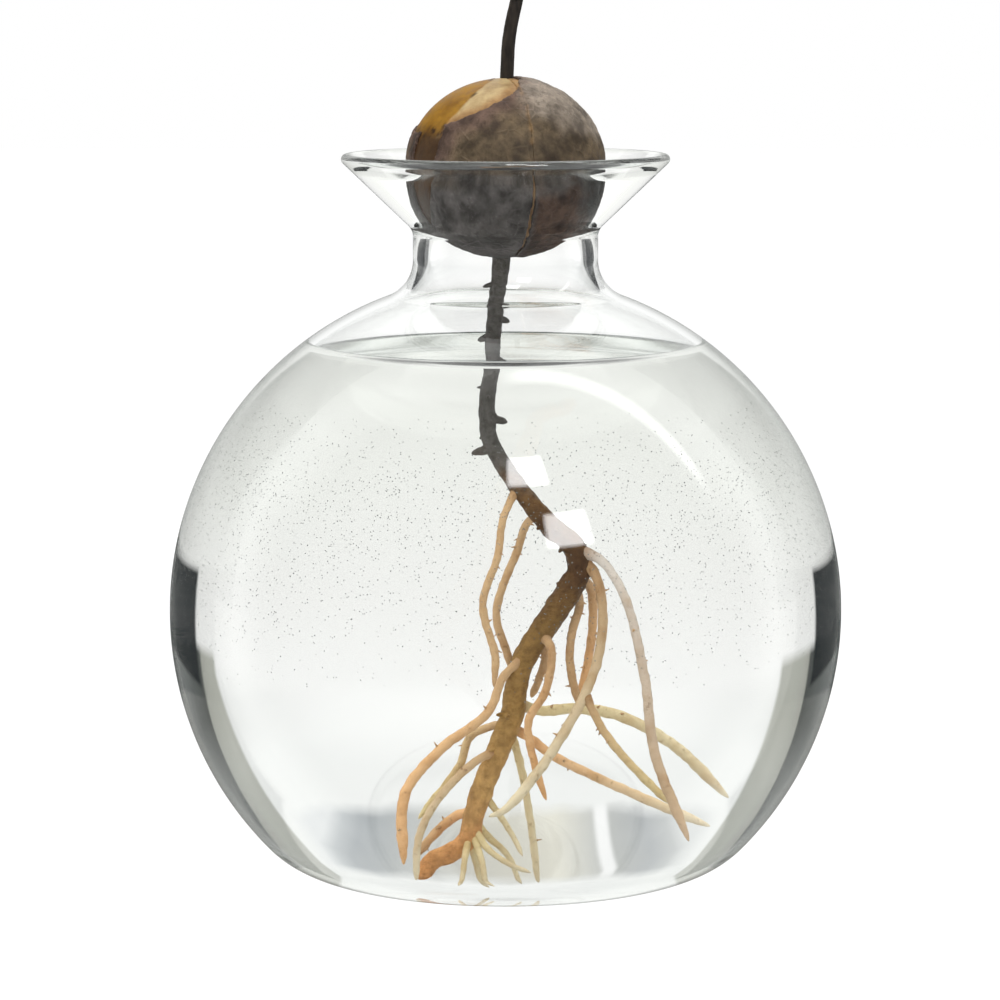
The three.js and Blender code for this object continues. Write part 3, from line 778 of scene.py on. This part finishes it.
def coat_surface(keep):
    """The part of the stone's surface where keep is above zero, cut cleanly along its edge."""
    columns, rows = 300, 170
    grid = {}
    for row in range(rows + 1):
        latitude = pi * (row / rows - 0.5)
        for column in range(columns):
            point = stone_point(360 * column / columns, latitude, 0)
            grid[row, column] = (point, keep(point))
    vertices, numbers, faces = [], {}, []

    def number(key, point):
        if key not in numbers:
            numbers[key] = len(vertices)
            vertices.append(stone_middle + point * (1 + coat_relief(point) / STONE_RADIUS))
        return numbers[key]

    for row in range(rows):
        for column in range(columns):
            following = (column + 1) % columns
            keys = [(row, column), (row, following), (row + 1, following), (row + 1, column)]
            polygon = []
            for here, there in zip(keys, keys[1:] + keys[:1]):
                (point, value), (other, beyond) = grid[here], grid[there]
                if value > 0:
                    polygon.append(number(here, point))
                if (value > 0) != (beyond > 0):
                    share = value / (value - beyond)
                    key = (min(here, there), max(here, there))
                    polygon.append(number(key, point.lerp(other, share)))
            if len(polygon) > 2:
                faces.append(polygon)
    return vertices, faces


def seed_coat(side, sign, slot):
    def keep(point):
        width = lerp(*CRACK_WIDTHS, ease(-6, 4, point.z))
        return min(sign * across_crack(point) - width / 2, coat_cover(point))

    name = f"coat_{side}"
    mesh = coat_surface(keep)
    piece = add_piece(name, *mesh, coat_material(name), "plant", slot, [f"seed_coat_{side}"])
    paint_stone(piece, skin_colour)
    weld(piece, 0.01)
    shell = piece.modifiers.new("shell", "SOLIDIFY")
    shell.thickness = COAT_THICKNESS * MM
    shell.offset = -1


def cotyledon(side, sign, material):
    """Half of the stone, closed by a flat face along the split."""
    turn = radians(CRACK_AZIMUTH)
    across = Vector((cos(turn), sin(turn), 0)) * sign
    columns, rows = 120, 110
    vertices = []
    for row in range(rows + 1):
        latitude = pi * (row / rows - 0.5) * POLE_SHARE
        for column in range(columns + 1):
            azimuth = CRACK_AZIMUTH + (0 if sign > 0 else 180) + 180 * (column / columns - 0.5)
            point = stone_point(azimuth, latitude, COAT_THICKNESS + COAT_CLEARANCE)
            vertices.append(stone_middle + point + across * GAP / 2)
    faces = grid_faces(rows, columns)
    wide = columns + 1
    first = [row * wide for row in range(rows + 1)]
    last = [row * wide + columns for row in reversed(range(rows + 1))]
    faces.append(first + last)
    faces.append(list(range(columns, -1, -1)))
    faces.append([rows * wide + column for column in range(wide)])
    name = f"flesh_{side}"
    piece = add_piece(name, vertices, faces, material, "plant", "cotyledon", [f"cotyledon_{side}"])
    paint_stone(piece, flesh_colour)


# Plant: the shoot and the roots follow the same routes as the solids

embryo_low, embryo_high = (corner.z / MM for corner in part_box("embryo_axis"))
shoot_start = embryo_high + GAP + SHOOT_DIAMETER / 2
SHOOT_ROUTE = (
    (0, 0, shoot_start),
    (SHOOT_LEAN * 0.05, 0, stone_top),
    (SHOOT_LEAN * 0.14, 0, stone_top + SHOOT_LENGTH * 0.25),
    (SHOOT_LEAN * 0.45, 0, stone_top + SHOOT_LENGTH * 0.52),
    (SHOOT_LEAN, 0, stone_top + SHOOT_LENGTH),
)

# Each point of a root is x, y and the depth in hundredths from the stone's underside to the floor
TAPROOT_ROUTE = (
    (-0.8, 0, 0), (-1.6, 0.3, 7), (-2.4, 0.6, 14.5), (-2.1, 0.8, 27), (-2.7, 0.5, 32), (-2.3, 0, 37),
    (-0.8, -0.5, 39.5), (1.8, -1, 43), (6.4, -1.5, 48), (9.6, -1.2, 50.5), (10.7, -0.6, 53.5),
    (7.4, 0, 59), (3.6, 0.5, 64), (1.9, 0.6, 67), (1.1, 0.6, 72), (-0.6, 0.4, 76), (-2.5, 0.4, 80),
    (-4.3, 0.8, 84.5), (-5.4, 1.2, 88), (-7.6, 1.6, 89.6), (-10.2, 2, 90.6), (-12.2, 2.2, 93.4),
)
TAPROOT_DIAMETERS = (3.6, 3.1, 2.7, 2.4, 2.4, 3.1, 3.7, 3.3, 3.4, 3, 2.4)

# Short stubs of dead side roots on the taproot: depth and compass angle
STUBS = ((4, 200), (10, 30), (13, 160), (17, 345), (34, 20), (38, 170))
STUB_LENGTH = 3.3
STUB_DIAMETERS = (1.8, 0.9)

# Colours of the shoot, of the knot in the stone and of the taproot from its foot upward
STEM_COLOURS = ((0.35, 24, 21, 19), (0.7, 58, 50, 42))
BUD_COLOURS = ((0.3, 52, 46, 26), (0.55, 78, 72, 40), (0.75, 112, 92, 54))
KNOT_COLOURS = ((0.35, 168, 128, 78), (0.65, 214, 184, 132))
BARK_HEIGHTS = (8, 118)
BARK_COLOURS = (
    (0.0, 228, 162, 100), (0.07, 220, 162, 102), (0.14, 212, 170, 106), (0.24, 172, 136, 76),
    (0.34, 136, 104, 54), (0.42, 94, 64, 32), (0.53, 112, 82, 46), (0.565, 104, 98, 90), (0.6, 92, 90, 85),
    (0.8, 78, 76, 72), (1.0, 96, 94, 89),
)

# Colours of the side roots: each one's own at its collar and at its tip
BARK = rgb(150, 112, 70)
BROWN = rgb(188, 154, 112)
TAN = rgb(202, 168, 124)
ORANGE = rgb(240, 190, 134)
YELLOW = rgb(224, 206, 152)
CREAM = rgb(236, 223, 188)
GREY = rgb(206, 198, 187)
SIDE_ROOT_COLOURS = (
    (TAN, TAN), (TAN, TAN), (BROWN, CREAM), (BROWN, ORANGE), (BROWN, TAN), (GREY, TAN), (YELLOW, CREAM),
    (ORANGE, CREAM), (TAN, YELLOW), (BROWN, ORANGE), (BROWN, TAN), (TAN, ORANGE), (TAN, YELLOW),
    (TAN, CREAM), (ORANGE, TAN), (YELLOW, CREAM),
)

# Side roots: the depth where each leaves its parent, its thickness at both ends and its points
LATERALS = (
    (43, 0, 1.1, 1.2, (
        (-0.4, -3.2, 47), (-1.1, -3.8, 51.5), (-3.3, -3.8, 58), (-1.5, -4, 64.6), (-1.7, -4.7, 68.4),
    )),
    (46.5, 0, 1.1, 1.2, ((3, 2, 48.5), (1.9, 2.9, 51.5), (-1.3, 3.3, 60), (0.2, 3.6, 65), (1.2, 3.8, 68))),
    (52, 0, 1.4, 1.5, (
        (13, -1.4, 54.5), (14, -1.8, 59), (13, -2.2, 66), (7.6, -3.4, 75.5), (0, -5, 84), (-2.4, -4.8, 85),
    )),
    (54.5, 0, 1.3, 1.2, ((12, 2.2, 56.5), (12.4, 3.2, 60.5), (11.4, 4, 67), (10.2, 4.2, 71))),
    (55.5, 0, 1.2, 1.2, ((10.6, 1.2, 58.5), (9.4, 0.6, 62.5), (9.2, 0.4, 66), (10.4, 0.6, 71.5))),
    (51, 0, 1.3, 1.6, ((14, -2.4, 52.5), (17.6, -5.5, 57), (20.4, -7, 67), (22, -7.6, 77), (27.6, -8, 89))),
    (71, 0, 1.5, 1.5, ((5.4, 6, 72.5), (9, 9, 72.5), (15, 12, 73.5), (22, 14.6, 77), (28.8, 16, 83))),
    (74, 0, 1.3, 1.3, ((2.6, 2, 75), (6.8, 3, 77.8), (11.6, 4, 80), (20, 5.6, 83.4), (28, 7, 86.5))),
    (69.4, 3, 1.2, 1.2, ((13.9, -2.4, 74), (16.9, -2.4, 77.5), (23.5, -2.4, 83.5))),
    (62, 0, 1.3, 1.1, ((6.6, -2.4, 64), (5.8, -3, 69), (3.3, -3.2, 73), (4.2, -2.4, 78.5), (5.8, -1.8, 83))),
    (63, 0, 1.2, 1.1, ((5.6, 2.6, 65.5), (4.6, 3.4, 68.5), (3.6, 3.5, 70.6))),
    (65, 0, 1.2, 1.7, (
        (-0.4, -1.9, 67.6), (-2.4, -3.4, 71.6), (-9.6, -5.6, 76.5), (-14.6, -6.6, 82), (-15, -7, 91.5),
    )),
    (73.5, 0, 1.2, 1.1, ((-2.4, 2.6, 74.2), (-5, 3.6, 75.5), (-6.4, 4.2, 79), (-12, 5.2, 85.5))),
    (77, 0, 1.2, 1.1, ((-3.8, -2.2, 77.8), (-9.4, -3.6, 82.5), (-12.4, -4, 87.5), (-13, -4.4, 94))),
    (84.5, 0, 1.4, 1.2, ((-6.6, 3, 85), (-8.6, 4.6, 86.3), (-10.8, 5.6, 88.4), (-11.9, 6, 89.8))),
    (71.5, 0, 1.2, 1, ((0.6, 4.6, 74), (2, 7.4, 79), (3.4, 9, 86), (4.4, 9.4, 93.5))),
)
FINE_ROOTS = (
    (86, ((-2.6, -0.6, 89), (0.4, -1.4, 91), (3.6, -2, 92.2))),
    (86.8, ((-3.4, -1.2, 90.5), (-2.6, -2.2, 94), (-1.6, -2.6, 95))),
    (87.2, ((-4.2, 3.6, 90.5), (-3, 5, 94), (-2.2, 5.6, 95))),
    (87.6, ((-5.8, -1.6, 90.5), (-6.4, -3, 94), (-6.8, -3.8, 95))),
    (85.4, ((-2.4, 2.6, 87.6), (0.4, 4, 90), (2.2, 4.8, 94))),
    (82, ((-1.2, 1.6, 84.5), (1, 2, 87.5), (2.4, 1.4, 90))),
)
FINE_DIAMETERS = (1.1, 0.7)
ROOT_SPREAD = 33
ROOT_SEED = 5

# Lumps on a stem or root: their height as a share of its radius, and their number for each millimetre
STEM_LUMPS = (0.035, 0.9)
TAPROOT_LUMPS = (0.13, 0.55)
ROOT_LUMPS = (0.16, 0.9)
FINE_LUMPS = (0.15, 1.2)
STUB_LUMPS = (0.25, 1.4)
SPUR_LUMPS = (0.2, 2.0)

# Thorns on the taproot and on the side roots, of which these numbers have more
TAPROOT_SPURS = 26
ROUGH_ROOTS = (1, 2, 3, 4, 5, 10, 11)
MANY_SPURS = 7
FEW_SPURS = 3
# How far a thorn leans along its root, its share of the usual length and its share of the root's radius
SPUR_LEANS = (-0.3, 0.8)
SPUR_LENGTHS = (0.6, 1.4)
SPUR_WIDTHS = (0.35, 0.55)

routes = [TAPROOT_ROUTE, *(row[-1] for row in LATERALS + FINE_ROOTS)]
route_scale = ROOT_SPREAD / max(hypot(x, y) for route in routes for x, y, _ in route)


def root_point(place):
    x, y, depth = place
    height = stone_bottom - (stone_bottom - FLOOR_THICKNESS) * depth / 100
    return Vector((x * route_scale, y * route_scale, height))


def nearest_in_height(points, depth):
    height = root_point((0, 0, depth)).z
    return min(points, key=lambda p: abs(p.z - height))


def spur(draw, points, radii, length):
    """A short thorn of a side root at a random place on a root."""
    i = draw.randrange(len(points) // 8, len(points) * 7 // 8)
    along = (points[i + 1] - points[i - 1]).normalized()
    out = Quaternion(along, draw.uniform(0, 2 * pi)) @ along.orthogonal().normalized()
    lean = (out + along * draw.uniform(*SPUR_LEANS)).normalized()
    start = points[i] + out * radii[i] * 0.3
    reach = length * draw.uniform(*SPUR_LENGTHS) + radii[i] * 0.7
    line = [start + lean * reach * k / 5 for k in range(6)]
    thick = radii[i] * draw.uniform(*SPUR_WIDTHS)
    return sweep(line, [thick * (1 - 0.8 * k / 5) for k in range(6)], 7, *SPUR_LUMPS)


def stub(points, depth, compass):
    start = nearest_in_height(points, depth)
    turn = radians(compass)
    way = Vector((cos(turn), sin(turn), -0.35)).normalized()
    line = [start + way * STUB_LENGTH * k / 8 for k in range(9)]
    return sweep(line, rounded(8, STUB_DIAMETERS, 2), 10, *STUB_LUMPS)


def taproot():
    count, sides = 420, 28
    start = (0, 0, embryo_low - GAP - TAPROOT_DIAMETERS[0] / 2)
    points = spline([start, *map(root_point, TAPROOT_ROUTE)], count)
    radii = rounded(count, TAPROOT_DIAMETERS, 6)
    draw = random.Random(ROOT_SEED)
    parts = [sweep(points, radii, sides, *TAPROOT_LUMPS)]
    parts += [stub(points, *place) for place in STUBS]
    parts += [spur(draw, points, radii, 0.7) for _ in range(TAPROOT_SPURS)]
    piece = add_piece("root_tap", *joined(*parts), bark_material(), "plant", "taproot", ["taproot"])
    piece.visible_glossy = False
    return points


def paint_root(piece, rings, sides, first, last):
    """Colours a swept root from its collar to its tip, and the thorns that follow it in the mesh."""
    stops = ((0.0, *BARK), (0.1, *first), (1.0, *last), (1.02, *BROWN))
    shares = [(i - 1) / (sides * (rings - 1)) for i in range(len(piece.data.vertices))]
    paint(piece, [between(stops, share) for share in shares])
    piece.visible_glossy = False


def root_diameters(thick, thin):
    """A collar where a root leaves its parent, an even run and a pointed end."""
    run = [thick + (thin - thick) * i / 8 for i in range(9)]
    return (1.45 * thick, *run, 0.4 * thin)


def side_roots(tap_points, bark):
    """The side roots, each from the axis of its parent, with lumps and a few thorns."""
    draw = random.Random(ROOT_SEED + 1)
    count, sides = 120, 14
    lines = []
    for i, (leaves, parent, thick, thin, route) in enumerate(LATERALS):
        start = nearest_in_height(lines[parent - 1] if parent else tap_points, leaves)
        points = spline([start, *map(root_point, route)], count)
        lines.append(points)
        radii = rounded(count, root_diameters(thick, thin), 4)
        parts = [sweep(points, radii, sides, *ROOT_LUMPS)]
        spurs = MANY_SPURS if i + 1 in ROUGH_ROOTS else FEW_SPURS
        parts += [spur(draw, points, radii, 0.6) for _ in range(spurs)]
        name = f"lateral_root_{i + 1:02d}"
        piece = add_piece(f"root_side_{i + 1:02d}", *joined(*parts), bark, "plant", "root", [name])
        paint_root(piece, count + 1, sides, *SIDE_ROOT_COLOURS[i])


def fine_roots(tap_points, bark):
    count, sides = 60, 12
    for i, (leaves, route) in enumerate(FINE_ROOTS):
        points = spline([nearest_in_height(tap_points, leaves), *map(root_point, route)], count)
        radii = rounded(count, root_diameters(*FINE_DIAMETERS), 4)
        mesh = sweep(points, radii, sides, *FINE_LUMPS)
        name = f"fine_root_{i + 1}"
        piece = add_piece(f"root_fine_{i + 1}", *mesh, bark, "plant", "fine_root", [name])
        paint_root(piece, count + 1, sides, YELLOW, CREAM)


def shoot():
    count, sides = 160, 24
    points = spline(SHOOT_ROUTE, count)
    radii = rounded(count, (SHOOT_DIAMETER, SHOOT_TIP_DIAMETER), 4)
    mesh = sweep(points, radii, sides, *STEM_LUMPS)
    material = grained_material("dark_stem", 0.4, 1100, 0.25, STEM_COLOURS, (0.38, 0.6), (0.12, 0.6))
    add_piece("stem", *mesh, material, "plant", "stem", ["shoot_stem"])
    tip = points[-1]
    upward = (points[-1] - points[-2]).normalized()
    upright = Vector((0, 0, 1)).rotation_difference(upward).to_matrix().to_4x4()
    material = grained_material("bud_scale", 0.35, 1300, 0.2, BUD_COLOURS, (0.42, 0.62), (0.1, 0.6))
    bud(Matrix.Translation(tip - upward * BUD_GRIP) @ upright, material)
    for i in range(3):
        seat = tip - upward * LEAF_PITCH * (i + 0.5)
        turn = Matrix.Rotation(2 * pi * i / 3, 4, "Z")
        lean = Matrix.Translation((0, -SHOOT_TIP_DIAMETER / 2, 0))
        lean = lean @ Matrix.Rotation(radians(LEAF_TILT), 4, "X")
        scale_leaf(i + 1, Matrix.Translation(seat) @ upright @ turn @ lean, material)


def bud(place, material):
    """A pointed bud of folded scales, whose seams wind up it. It grips the end of the stem."""
    length = BUD_GRIP + SHOOT_TIP_DIAMETER / 2 + GAP + BUD_LENGTH
    profile = [(BUD_RADIUS * sin(pi * (i / 24) ** 0.7), length * i / 24) for i in range(25)]
    vertices, faces = lathe(profile, 40)
    shaped = []
    for x, y, z in vertices:
        seam = cos(3 * (atan2(y, x) + 0.5 * z / length * pi))
        share = 1 + 0.1 * abs(seam) - 0.06
        shaped.append(place @ Vector((x * share, y * share, z)))
    add_piece("bud", shaped, faces, material, "plant", "bud", ["apical_bud"])


def scale_leaf(number, place, material):
    """A small pointed leaf, cupped across and bent back at its tip."""
    rows, columns = 16, 8
    sheet = []
    for face in (0, 1):
        for row in range(rows + 1):
            along = row / rows
            half = LEAF_WIDTH * 0.5 * sin(pi * min(along * 0.86 + 0.1, 1)) ** 0.8
            for column in range(columns + 1):
                across = 2 * column / columns - 1
                thick = LEAF_THICKNESS * (1 - across**2) ** 0.5 * (1 - 0.7 * along)
                depth = 0.35 * across**2 - 0.5 * along**2 - face * thick
                sheet.append(place @ Vector((half * across, depth, LEAF_LENGTH * along)))
    wide = columns + 1
    back = (rows + 1) * wide
    faces = []
    for quad in grid_faces(rows, columns):
        faces.append(quad[:1] + quad[:0:-1])
        faces.append([back + index for index in quad])
    rim = [(r * wide, (r + 1) * wide) for r in range(rows)]
    rim += [((r + 1) * wide + columns, r * wide + columns) for r in range(rows)]
    rim += [(c + 1, c) for c in range(columns)]
    rim += [(rows * wide + c, rows * wide + c + 1) for c in range(columns)]
    faces += [(b, a, back + a, back + b) for a, b in rim]
    piece = add_piece(f"leaf_{number}", sheet, faces, material, "plant", "bud", [f"scale_leaf_{number}"])
    weld(piece, 0.005)


# Stage

AMBIENT = 1.15
FLOOR_GLOW = 1.06
FLOOR_GLOW_SHARE = 0.8
FLOOR_REACH = 3000
FLOOR_DROP = 0.3

# The lamp, in metres and watts
LAMP_PLACE = (-0.15, -0.1, 0.95)
LAMP_TARGET = (0, 0, 0.1)
LAMP_SIZE = 0.8
LAMP_POWER = 7.0

BOUNCES = 64

# A ray's count of refractions or reflections is under FIRST before the first one, and so on. A ray through
# the neck or the funnel is refracted four times, and one through the water more often.
FIRST = 0.5
SECOND = 1.5
FIFTH = 4.5

# Brightness of the sweep behind the object, by elevation
SWEEP_RISE = (-90, 45)
STUDIO_SWEEP = (
    (0.0, 0.84, 0.84, 0.83, 1), (0.3, 0.89, 0.9, 0.87, 1), (0.43, 0.95, 0.96, 0.92, 1),
    (0.51, 1.02, 1.03, 0.99, 1), (0.59, 1.06, 1.06, 1.04, 1), (0.65, 1.13, 1.13, 1.12, 1),
    (0.7, 1.0, 1.01, 1.0, 1),
)
# Dark screens at the sides, by azimuth and elevation
DARK_SCREEN = rgb(14, 22, 26)
SCREEN_SIDES = (42.5, 67)
SCREEN_RISE = (-9.8, 5)
SCREEN_SLOPE = 0.045
# What the outline of the bulb mirrors above and below the screens. A depth of 1 is straight behind it.
EDGE_HIGH = (0.42, 0.43, 0.42, 1)
EDGE_LOW = (0.2, 0.2, 0.19, 1)
EDGE_SLOPES = (0.18, 0.174)
EDGE_TOP = (-8.1, -8.7)
EDGE_FOOT = (-9.8, -10.4)
EDGE_RISE = (-30, 12)
EDGE_DEPTH = (0.1, 0.4)
# The dark room in front of the object, which only rays that the glass reflected can see
FRONT_ROOM = (0.12, 0.12, 0.12, 1)
FRONT_SHADE = (0.05, 0.05, 0.05, 1)
FRONT_RISE = (-25, 25)
FRONT_DEPTH = (0.25, -0.1)
SHADE_RISE = (-50, -65)
# Pale walls over the screens
WALL_RIGHT = 35.5
WALL_LEFT = -31
WALL_LEAN = 10
WALL_RISE = (-2.3, 62)
WALL_SIDES = (28, 88)
STUDIO_WALL = (
    (0.0, 180, 181, 172), (0.12, 198, 199, 190), (0.205, 190, 191, 182), (0.22, 84, 87, 84),
    (0.34, 110, 114, 112), (0.55, 170, 173, 172), (1.0, 236, 238, 238),
)
# Soft grey things low behind the object, as upright stripes
CLUTTER_RISE = (8, 19.5)
CLUTTER_SIDES = (-25, 25)
CLUTTER_SAG = -0.011
STRIPE_SIDES = (-26, 26)
STRIPE_SPREAD = (1.0, 0.703)
STUDIO_CLUTTER = (
    (0.0, 240, 241, 241), (0.19, 226, 228, 228), (0.22, 192, 195, 196), (0.262, 174, 178, 182),
    (0.325, 190, 192, 190), (0.333, 1.1, 1.1, 1.1, 1), (0.349, 1.1, 1.1, 1.1, 1), (0.357, 206, 207, 203),
    (0.42, 242, 239, 225), (0.48, 232, 229, 216), (0.55, 220, 218, 208), (0.64, 200, 202, 200),
    (0.7, 176, 181, 184), (0.75, 164, 170, 176), (0.785, 190, 195, 199), (0.82, 236, 238, 240),
)
# Dark sides of the room that show in the thick glass of the neck, by azimuth and elevation
NECK_SIDES = (22, 62)
NECK_RISE = (-40, 40)
# Azimuths and elevations of the small soft boxes, the bent strip by its slope, and how bright they are
SOFT_BOXES = ((159, 179, 50.5, 60.5), (147, 164, 29, 40))
STRIP_TILT = (0.06, 0.16)
STRIP_ENDS = (0.02, 0.84)
STRIP_MIDDLE = 0.36
STRIP_BOW = 0.42
STRIP_RISE = (0.4, 0.6)
STRIP_LIGHT = 4.6
BOX_LIGHT = 16.0


def studio_world():
    """White for the camera and an even light. The glass also shows the studio round the object."""
    world = bpy.data.worlds.new("studio")
    bpy.context.scene.world = world
    world.use_nodes = True
    sky = Nodes(world.node_tree, "Generated")
    seen = sky.nodes["Background"]
    sky.put(seen.inputs["Color"], sky.blend(sky.path("Is Camera Ray"), studio(sky), (1, 1, 1, 1)))
    light = sky.make("Background", Strength=AMBIENT)
    shown = sky.most(*map(sky.path, ("Is Camera Ray", "Is Glossy Ray", "Is Transmission Ray")))
    sky.mixed(shown, light, seen.outputs[0], "World Output")


def studio(sky):
    """What stands round the object, by azimuth from straight behind it and by elevation."""
    azimuth = sky.times(sky.math("ARCTAN2", sky.axis("X"), sky.axis("Y")), 180 / pi)
    side = sky.math("ABSOLUTE", azimuth)
    rise = sky.times(sky.math("ARCSINE", sky.axis("Z")), 180 / pi)
    refracted, reflected = sky.path("Transmission Depth"), sky.path("Glossy Depth")
    straight, bounced = sky.under(reflected, FIRST), sky.over(reflected, FIRST)
    outside = sky.under(refracted, FIRST)
    dry, wet = sky.under(refracted, FIFTH), sky.over(refracted, FIFTH)
    grazing = sky.minus(1.0, sky.path("Is Singular Ray"))
    colour = sky.ramp(sky.range(rise, *SWEEP_RISE), STUDIO_SWEEP)
    clutter = sky.times(low_clutter(sky, azimuth, rise), straight)
    colour = sky.blend(clutter, colour, clutter_colour(sky, azimuth, rise))
    walls = sky.times(side_walls(sky, azimuth, rise), grazing)
    colour = sky.blend(walls, colour, wall_colour(sky, side))
    sloped = sky.plus(rise, sky.times(side, SCREEN_SLOPE))
    screens = sky.times(sky.band(side, *SCREEN_SIDES, 0.6), sky.band(sloped, *SCREEN_RISE, 0.5))
    screens = sky.times(screens, wet, straight)
    neck = sky.times(sky.band(side, *NECK_SIDES, 1.0), sky.band(rise, *NECK_RISE, 0.5))
    neck = sky.times(neck, dry, sky.under(reflected, SECOND))
    colour = sky.blend(sky.times(sky.most(screens, neck), grazing), colour, DARK_SCREEN)
    behind = sky.range(sky.axis("Y"), *EDGE_DEPTH)
    edge = sky.times(behind, outside, sky.band(rise, *EDGE_RISE, 4))
    colour = sky.blend(edge, colour, edge_colour(sky, side, rise))
    front = sky.range(sky.axis("Y"), *FRONT_DEPTH)
    room = sky.times(front, bounced, sky.band(rise, *FRONT_RISE, 4))
    colour = sky.blend(room, colour, FRONT_ROOM)
    shade = sky.most(sky.times(front, dry), sky.range(rise, *SHADE_RISE))
    colour = sky.blend(sky.times(shade, bounced), colour, FRONT_SHADE)
    return sky.blend(1.0, colour, sky.times(soft_boxes(sky, azimuth, rise), outside), "ADD")


def edge_colour(sky, side, rise):
    """What the outline of the bulb mirrors: the dark screens, with grey above and below them."""
    above = sky.minus(rise, sky.times(side, EDGE_SLOPES[0]))
    below = sky.plus(rise, sky.times(side, EDGE_SLOPES[1]))
    colour = sky.blend(sky.range(above, *EDGE_TOP), EDGE_HIGH, DARK_SCREEN)
    return sky.blend(sky.range(below, *EDGE_FOOT), colour, EDGE_LOW)


def side_walls(sky, azimuth, rise):
    """Pale walls, which start closer to the middle on the left, and lean in towards their top."""
    lean = sky.times(sky.range(rise, 0, 30), WALL_LEAN)
    right = sky.range(sky.plus(azimuth, lean), WALL_RIGHT - 0.5, WALL_RIGHT + 0.5)
    lean = sky.times(lean, 0.4)
    left = sky.range(sky.minus(azimuth, lean), WALL_LEFT - 0.5, WALL_LEFT + 0.5, 1.0, 0.0)
    return sky.times(sky.most(left, right), sky.band(rise, *WALL_RISE, 0.8))


def wall_colour(sky, side):
    grain = sky.times(sky.minus(sky.noise(14, 2.0, 0.5, (1, 1, 0.08)), 0.5), 3.0)
    return sky.ramp(sky.range(sky.plus(side, grain), *WALL_SIDES), STUDIO_WALL)


def low_clutter(sky, azimuth, rise):
    """Soft grey things low behind the object."""
    sag = sky.times(azimuth, azimuth, CLUTTER_SAG)
    blur = sky.times(sky.minus(sky.noise(9, 2.0), 0.5), 3.0)
    share = sky.band(sky.plus(rise, sag, blur), *CLUTTER_RISE, 1.0)
    return sky.times(share, sky.band(azimuth, *CLUTTER_SIDES, 2), 0.9)


def clutter_colour(sky, azimuth, rise):
    """Upright stripes, whose azimuth grows with their height as the bulb shows them."""
    spread = sky.range(rise, *CLUTTER_RISE, *STRIPE_SPREAD)
    return sky.ramp(sky.range(sky.times(azimuth, spread), *STRIPE_SIDES), STUDIO_CLUTTER)


def soft_boxes(sky, azimuth, rise):
    """The light of a long strip overhead and of two small boxes, which only reflections show."""
    tilt = sky.math("DIVIDE", sky.axis("Y"), sky.axis("Z"))
    aside = sky.minus(sky.axis("X"), STRIP_MIDDLE)
    bow = sky.times(aside, aside, STRIP_BOW)
    strip = sky.band(sky.plus(tilt, bow), *STRIP_TILT, 0.025)
    ends = sky.band(sky.axis("X"), *STRIP_ENDS, 0.06)
    strip = sky.times(strip, ends, sky.range(sky.axis("Z"), *STRIP_RISE))
    boxes = []
    for first, last, low, high in SOFT_BOXES:
        boxes.append(sky.times(sky.band(azimuth, first, last, 1.2), sky.band(rise, low, high, 0.8)))
    return sky.plus(sky.times(strip, STRIP_LIGHT), sky.times(sky.most(*boxes), BOX_LIGHT))


def floor():
    """A white floor that keeps the shadow of the object."""
    look = Shader("floor", Roughness=0.6)
    pale = ((0.3, 0.86, 0.86, 0.86, 1), (0.7, 0.9, 0.9, 0.9, 1))
    look.feed("Base Color", look.ramp(look.noise(6, 2.0), pale))
    share = look.times(look.path("Is Camera Ray"), FLOOR_GLOW_SHARE)
    look.mix_surface(share, look.make("Emission", Strength=FLOOR_GLOW))
    mesh = bpy.data.meshes.new("floor")
    corners = [(-1, -1), (1, -1), (1, 1), (-1, 1)]
    vertices = [(x * FLOOR_REACH, y * FLOOR_REACH, -FLOOR_DROP) for x, y in corners]
    mesh.from_pydata([Vector(v) * MM for v in vertices], [], [(0, 1, 2, 3)])
    mesh.materials.append(look.material)
    plane = bpy.data.objects.new("floor", mesh)
    plane.visible_transmission = False
    plane.visible_glossy = False
    show(plane)


def lamp():
    data = bpy.data.lights.new("overhead", "AREA")
    data.shape = "SQUARE"
    data.size = LAMP_SIZE
    data.energy = LAMP_POWER
    thing = bpy.data.objects.new("overhead", data)
    thing.location = LAMP_PLACE
    way = Vector(LAMP_TARGET) - Vector(LAMP_PLACE)
    thing.rotation_euler = way.to_track_quat("-Z", "Y").to_euler()
    thing.visible_glossy = False
    thing.visible_transmission = False
    show(thing)


def camera():
    data = bpy.data.cameras.new("camera")
    data.sensor_width = SENSOR
    data.lens = CAMERA_FOCAL_PIXELS / PHOTO_PIXELS * SENSOR
    data.shift_x = (PHOTO_PIXELS / 2 - CAMERA_AXIS_PIXEL) / PHOTO_PIXELS
    data.clip_start, data.clip_end = 0.01, 50
    thing = bpy.data.objects.new("camera", data)
    thing.location = (0, -CAMERA_DISTANCE * MM, CAMERA_HEIGHT * MM)
    thing.rotation_euler = (radians(90 - CAMERA_PITCH), 0, 0)
    show(thing)
    bpy.context.scene.camera = thing


camera()
studio_world()
floor()
lamp()
glass_vase()
still_water()
bubbles()
flesh = flesh_material()
seed_coat("left", -1, "seed_coat")
seed_coat("right", 1, "seed_coat_dark")
cotyledon("left", -1, flesh)
cotyledon("right", 1, flesh)
knot = grained_material("embryo_knot", 0.35, 800, 1, KNOT_COLOURS, (0.4, 0.6), (0.12, 0.5))
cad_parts["embryo_axis"].data.materials.clear()
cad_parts["embryo_axis"].data.materials.append(knot)
tap_line = taproot()
pale_bark = root_material()
side_roots(tap_line, pale_bark)
fine_roots(tap_line, pale_bark)
shoot()

bpy.context.scene.view_settings.view_transform = "Standard"
for kind in ("max", "transmission", "glossy"):
    setattr(bpy.context.scene.cycles, f"{kind}_bounces", BOUNCES)
